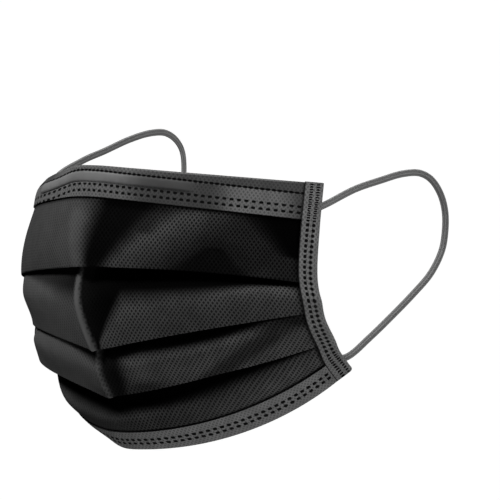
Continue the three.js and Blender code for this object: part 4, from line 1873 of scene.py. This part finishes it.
@dataclass
class Studio:
    """Camera, lights and the pale sweep round the mask, in metres, and the camera's sensor in millimetres.

    bearing and height are the camera's angles, frame_width is what its picture spans at the mask, and it aims
    at a place that lies aim_right and aim_up from the middle of the top edge. sweep_power is how square the
    sweep's profile is, sweep_grid its rings and the points of each, and ambient the strength of the light
    from all round.
    """

    bearing: float = 42.0
    height: float = 1.5
    frame_width: float = 0.1792
    distance: float = 3.98
    sensor: float = 36.0
    clip_end: float = 30.0
    aim_right: float = 0.0586
    aim_up: float = -0.03047
    top_middle: tuple[float, float, float] = (0, -0.00186, 0.00579)
    ambient: float = 0.03
    floor_drop: float = 0.3
    sweep_radius: float = 5.6
    sweep_power: float = 8.0
    sweep_grid: tuple[int, int] = (60, 96)
    sweep_level: float = 0.3
    lamps: tuple[Lamp, ...] = (
        Lamp("key_light", -25, 48, 19.5, 0.3),
        Lamp("side_light", 108, 44, 12, 0.4),
        Lamp("floor_bounce", 65, -46, 10, 0.6),
        Lamp("back_light", 195, 40, 6, 0.6),
    )

    def camera(self) -> None:
        """Makes a long-lens camera that looks at the mask from its left front, a little above."""
        data = bpy.data.cameras.new("camera")
        data.sensor_width = self.sensor
        data.lens = self.sensor * self.distance / self.frame_width
        data.clip_end = self.clip_end
        back = bearing_vector(self.bearing, self.height)
        a, e = math.radians(self.bearing), math.radians(self.height)
        right = Vector((math.cos(a), math.sin(a), 0))
        up = Vector((-math.sin(e) * math.sin(a), math.sin(e) * math.cos(a), math.cos(e)))
        aim = Vector(self.top_middle) + right * self.aim_right + up * self.aim_up
        camera = link("camera", data)
        camera.location = aim + back * self.distance
        camera.rotation_euler = back.to_track_quat("Z", "Y").to_euler()
        bpy.context.scene.camera = camera

    def sweep(self, low: Vector, centre: Vector) -> None:
        """Makes the floor, which curves up into a pale dome all round.

        Its profile is half of |x / R|^p + |z / h - 1|^p = 1, a square with rounded corners, turned about the
        vertical through the centre.

        Args:
            low: lowest corner of the object's box.
            centre: middle of that box.
        """
        radius, power = self.sweep_radius, 2 / self.sweep_power
        rings, size = self.sweep_grid
        turn = np.linspace(0, TURN, size + 1)[:-1]
        rise = np.linspace(-np.pi / 2, np.pi / 2, rings + 2)[1:-1]
        out = radius * np.cos(rise) ** power
        up = radius / 2 * (1 + np.sign(rise) * np.abs(np.sin(rise)) ** power)
        circle = (np.cos(turn), np.sin(turn), np.ones(size))
        ring = np.stack([np.outer(*pair) for pair in zip((out, out, up), circle)], axis=-1)
        base = np.array([centre.x, centre.y, low.z - self.floor_drop])
        loop = np.arange(size)
        start, after = size * np.arange(rings - 1)[:, None], np.roll(loop, -1)
        faces = np.stack([start + loop, start + after, start + size + after, start + size + loop], -1)
        poles = [loop[::-1].tolist(), (loop + size * (rings - 1)).tolist()]
        mesh = bpy.data.meshes.new("pale_sweep")
        mesh.from_pydata((ring + base).reshape(-1, 3), [], faces.reshape(-1, 4).tolist() + poles)
        mesh.shade_smooth()
        shader = Shader("pale_paint", roughness=0.9, specular=0.1, sheen=0)
        shader.constant("Base Color", grey(self.sweep_level))
        shader.constant("Emission Color", grey(1))
        shader.constant("Emission Strength", 1.0)
        mesh.materials.append(shader.material)
        sweep = link("pale_sweep", mesh)
        sweep.visible_diffuse = sweep.visible_glossy = sweep.visible_shadow = False
        sweep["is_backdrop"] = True

    def build(self) -> None:
        """Makes the camera, the lights, the ambient light and the sweep."""
        low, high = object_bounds()
        centre = (low + high) / 2
        self.camera()
        for lamp in self.lamps:
            lamp.build(centre)
        world = bpy.data.worlds.new("studio_air")
        world.use_nodes = True
        background = world.node_tree.nodes["Background"]
        background.inputs["Color"].default_value = grey(1)
        background.inputs["Strength"].default_value = self.ambient
        bpy.context.scene.world = world
        bpy.context.scene.view_settings.view_transform = "Standard"
        self.sweep(low, centre)


def main() -> None:
    """Builds the studio, the cords, the cloth and the trims."""
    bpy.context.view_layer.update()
    Studio().build()
    form = WornForm()
    hem = TopHem(form)
    dashes = Row(0.0, half_height=0.46, half_share=0.36, depth=0.16, line=0.22, rate=1.3)
    top_trim = TrimFinish("grey_top_hem", (dashes, Row(4.95), Row(7.15)), ground=0.105)
    bottom_trim = TrimFinish("grey_bottom_hem", (Row(3.72, 0.56, 0.28), Row(5.6, 0.56, 0.28)), ground=0.138)
    side_trim = TrimFinish("grey_side_binding", (Row(2.25, 0.56, 0.31), Row(4.35, 0.56, 0.31)), ground=0.125)
    parts = (
        (EarLoop(Side.LEFT, LEFT_ROUTE, (0.8, -0.6, 0)), ElasticFinish()),
        (EarLoop(Side.RIGHT, RIGHT_ROUTE, (1, 0, 0)), ElasticFinish()),
        (PleatedPanel(form), ClothFinish()),
        (hem, top_trim),
        (BottomHem(form), bottom_trim),
        (NoseWire(form, hem), WireFinish()),
        (SideBinding(form, side=Side.LEFT), side_trim),
        (SideBinding(form, side=Side.RIGHT), side_trim),
    )
    for part, finish in parts:
        LOG.info("made %s", part.build(finish).name)


if __name__ == "__main__":
    logging.basicConfig(level=logging.INFO, format="%(name)s: %(message)s")
    main()
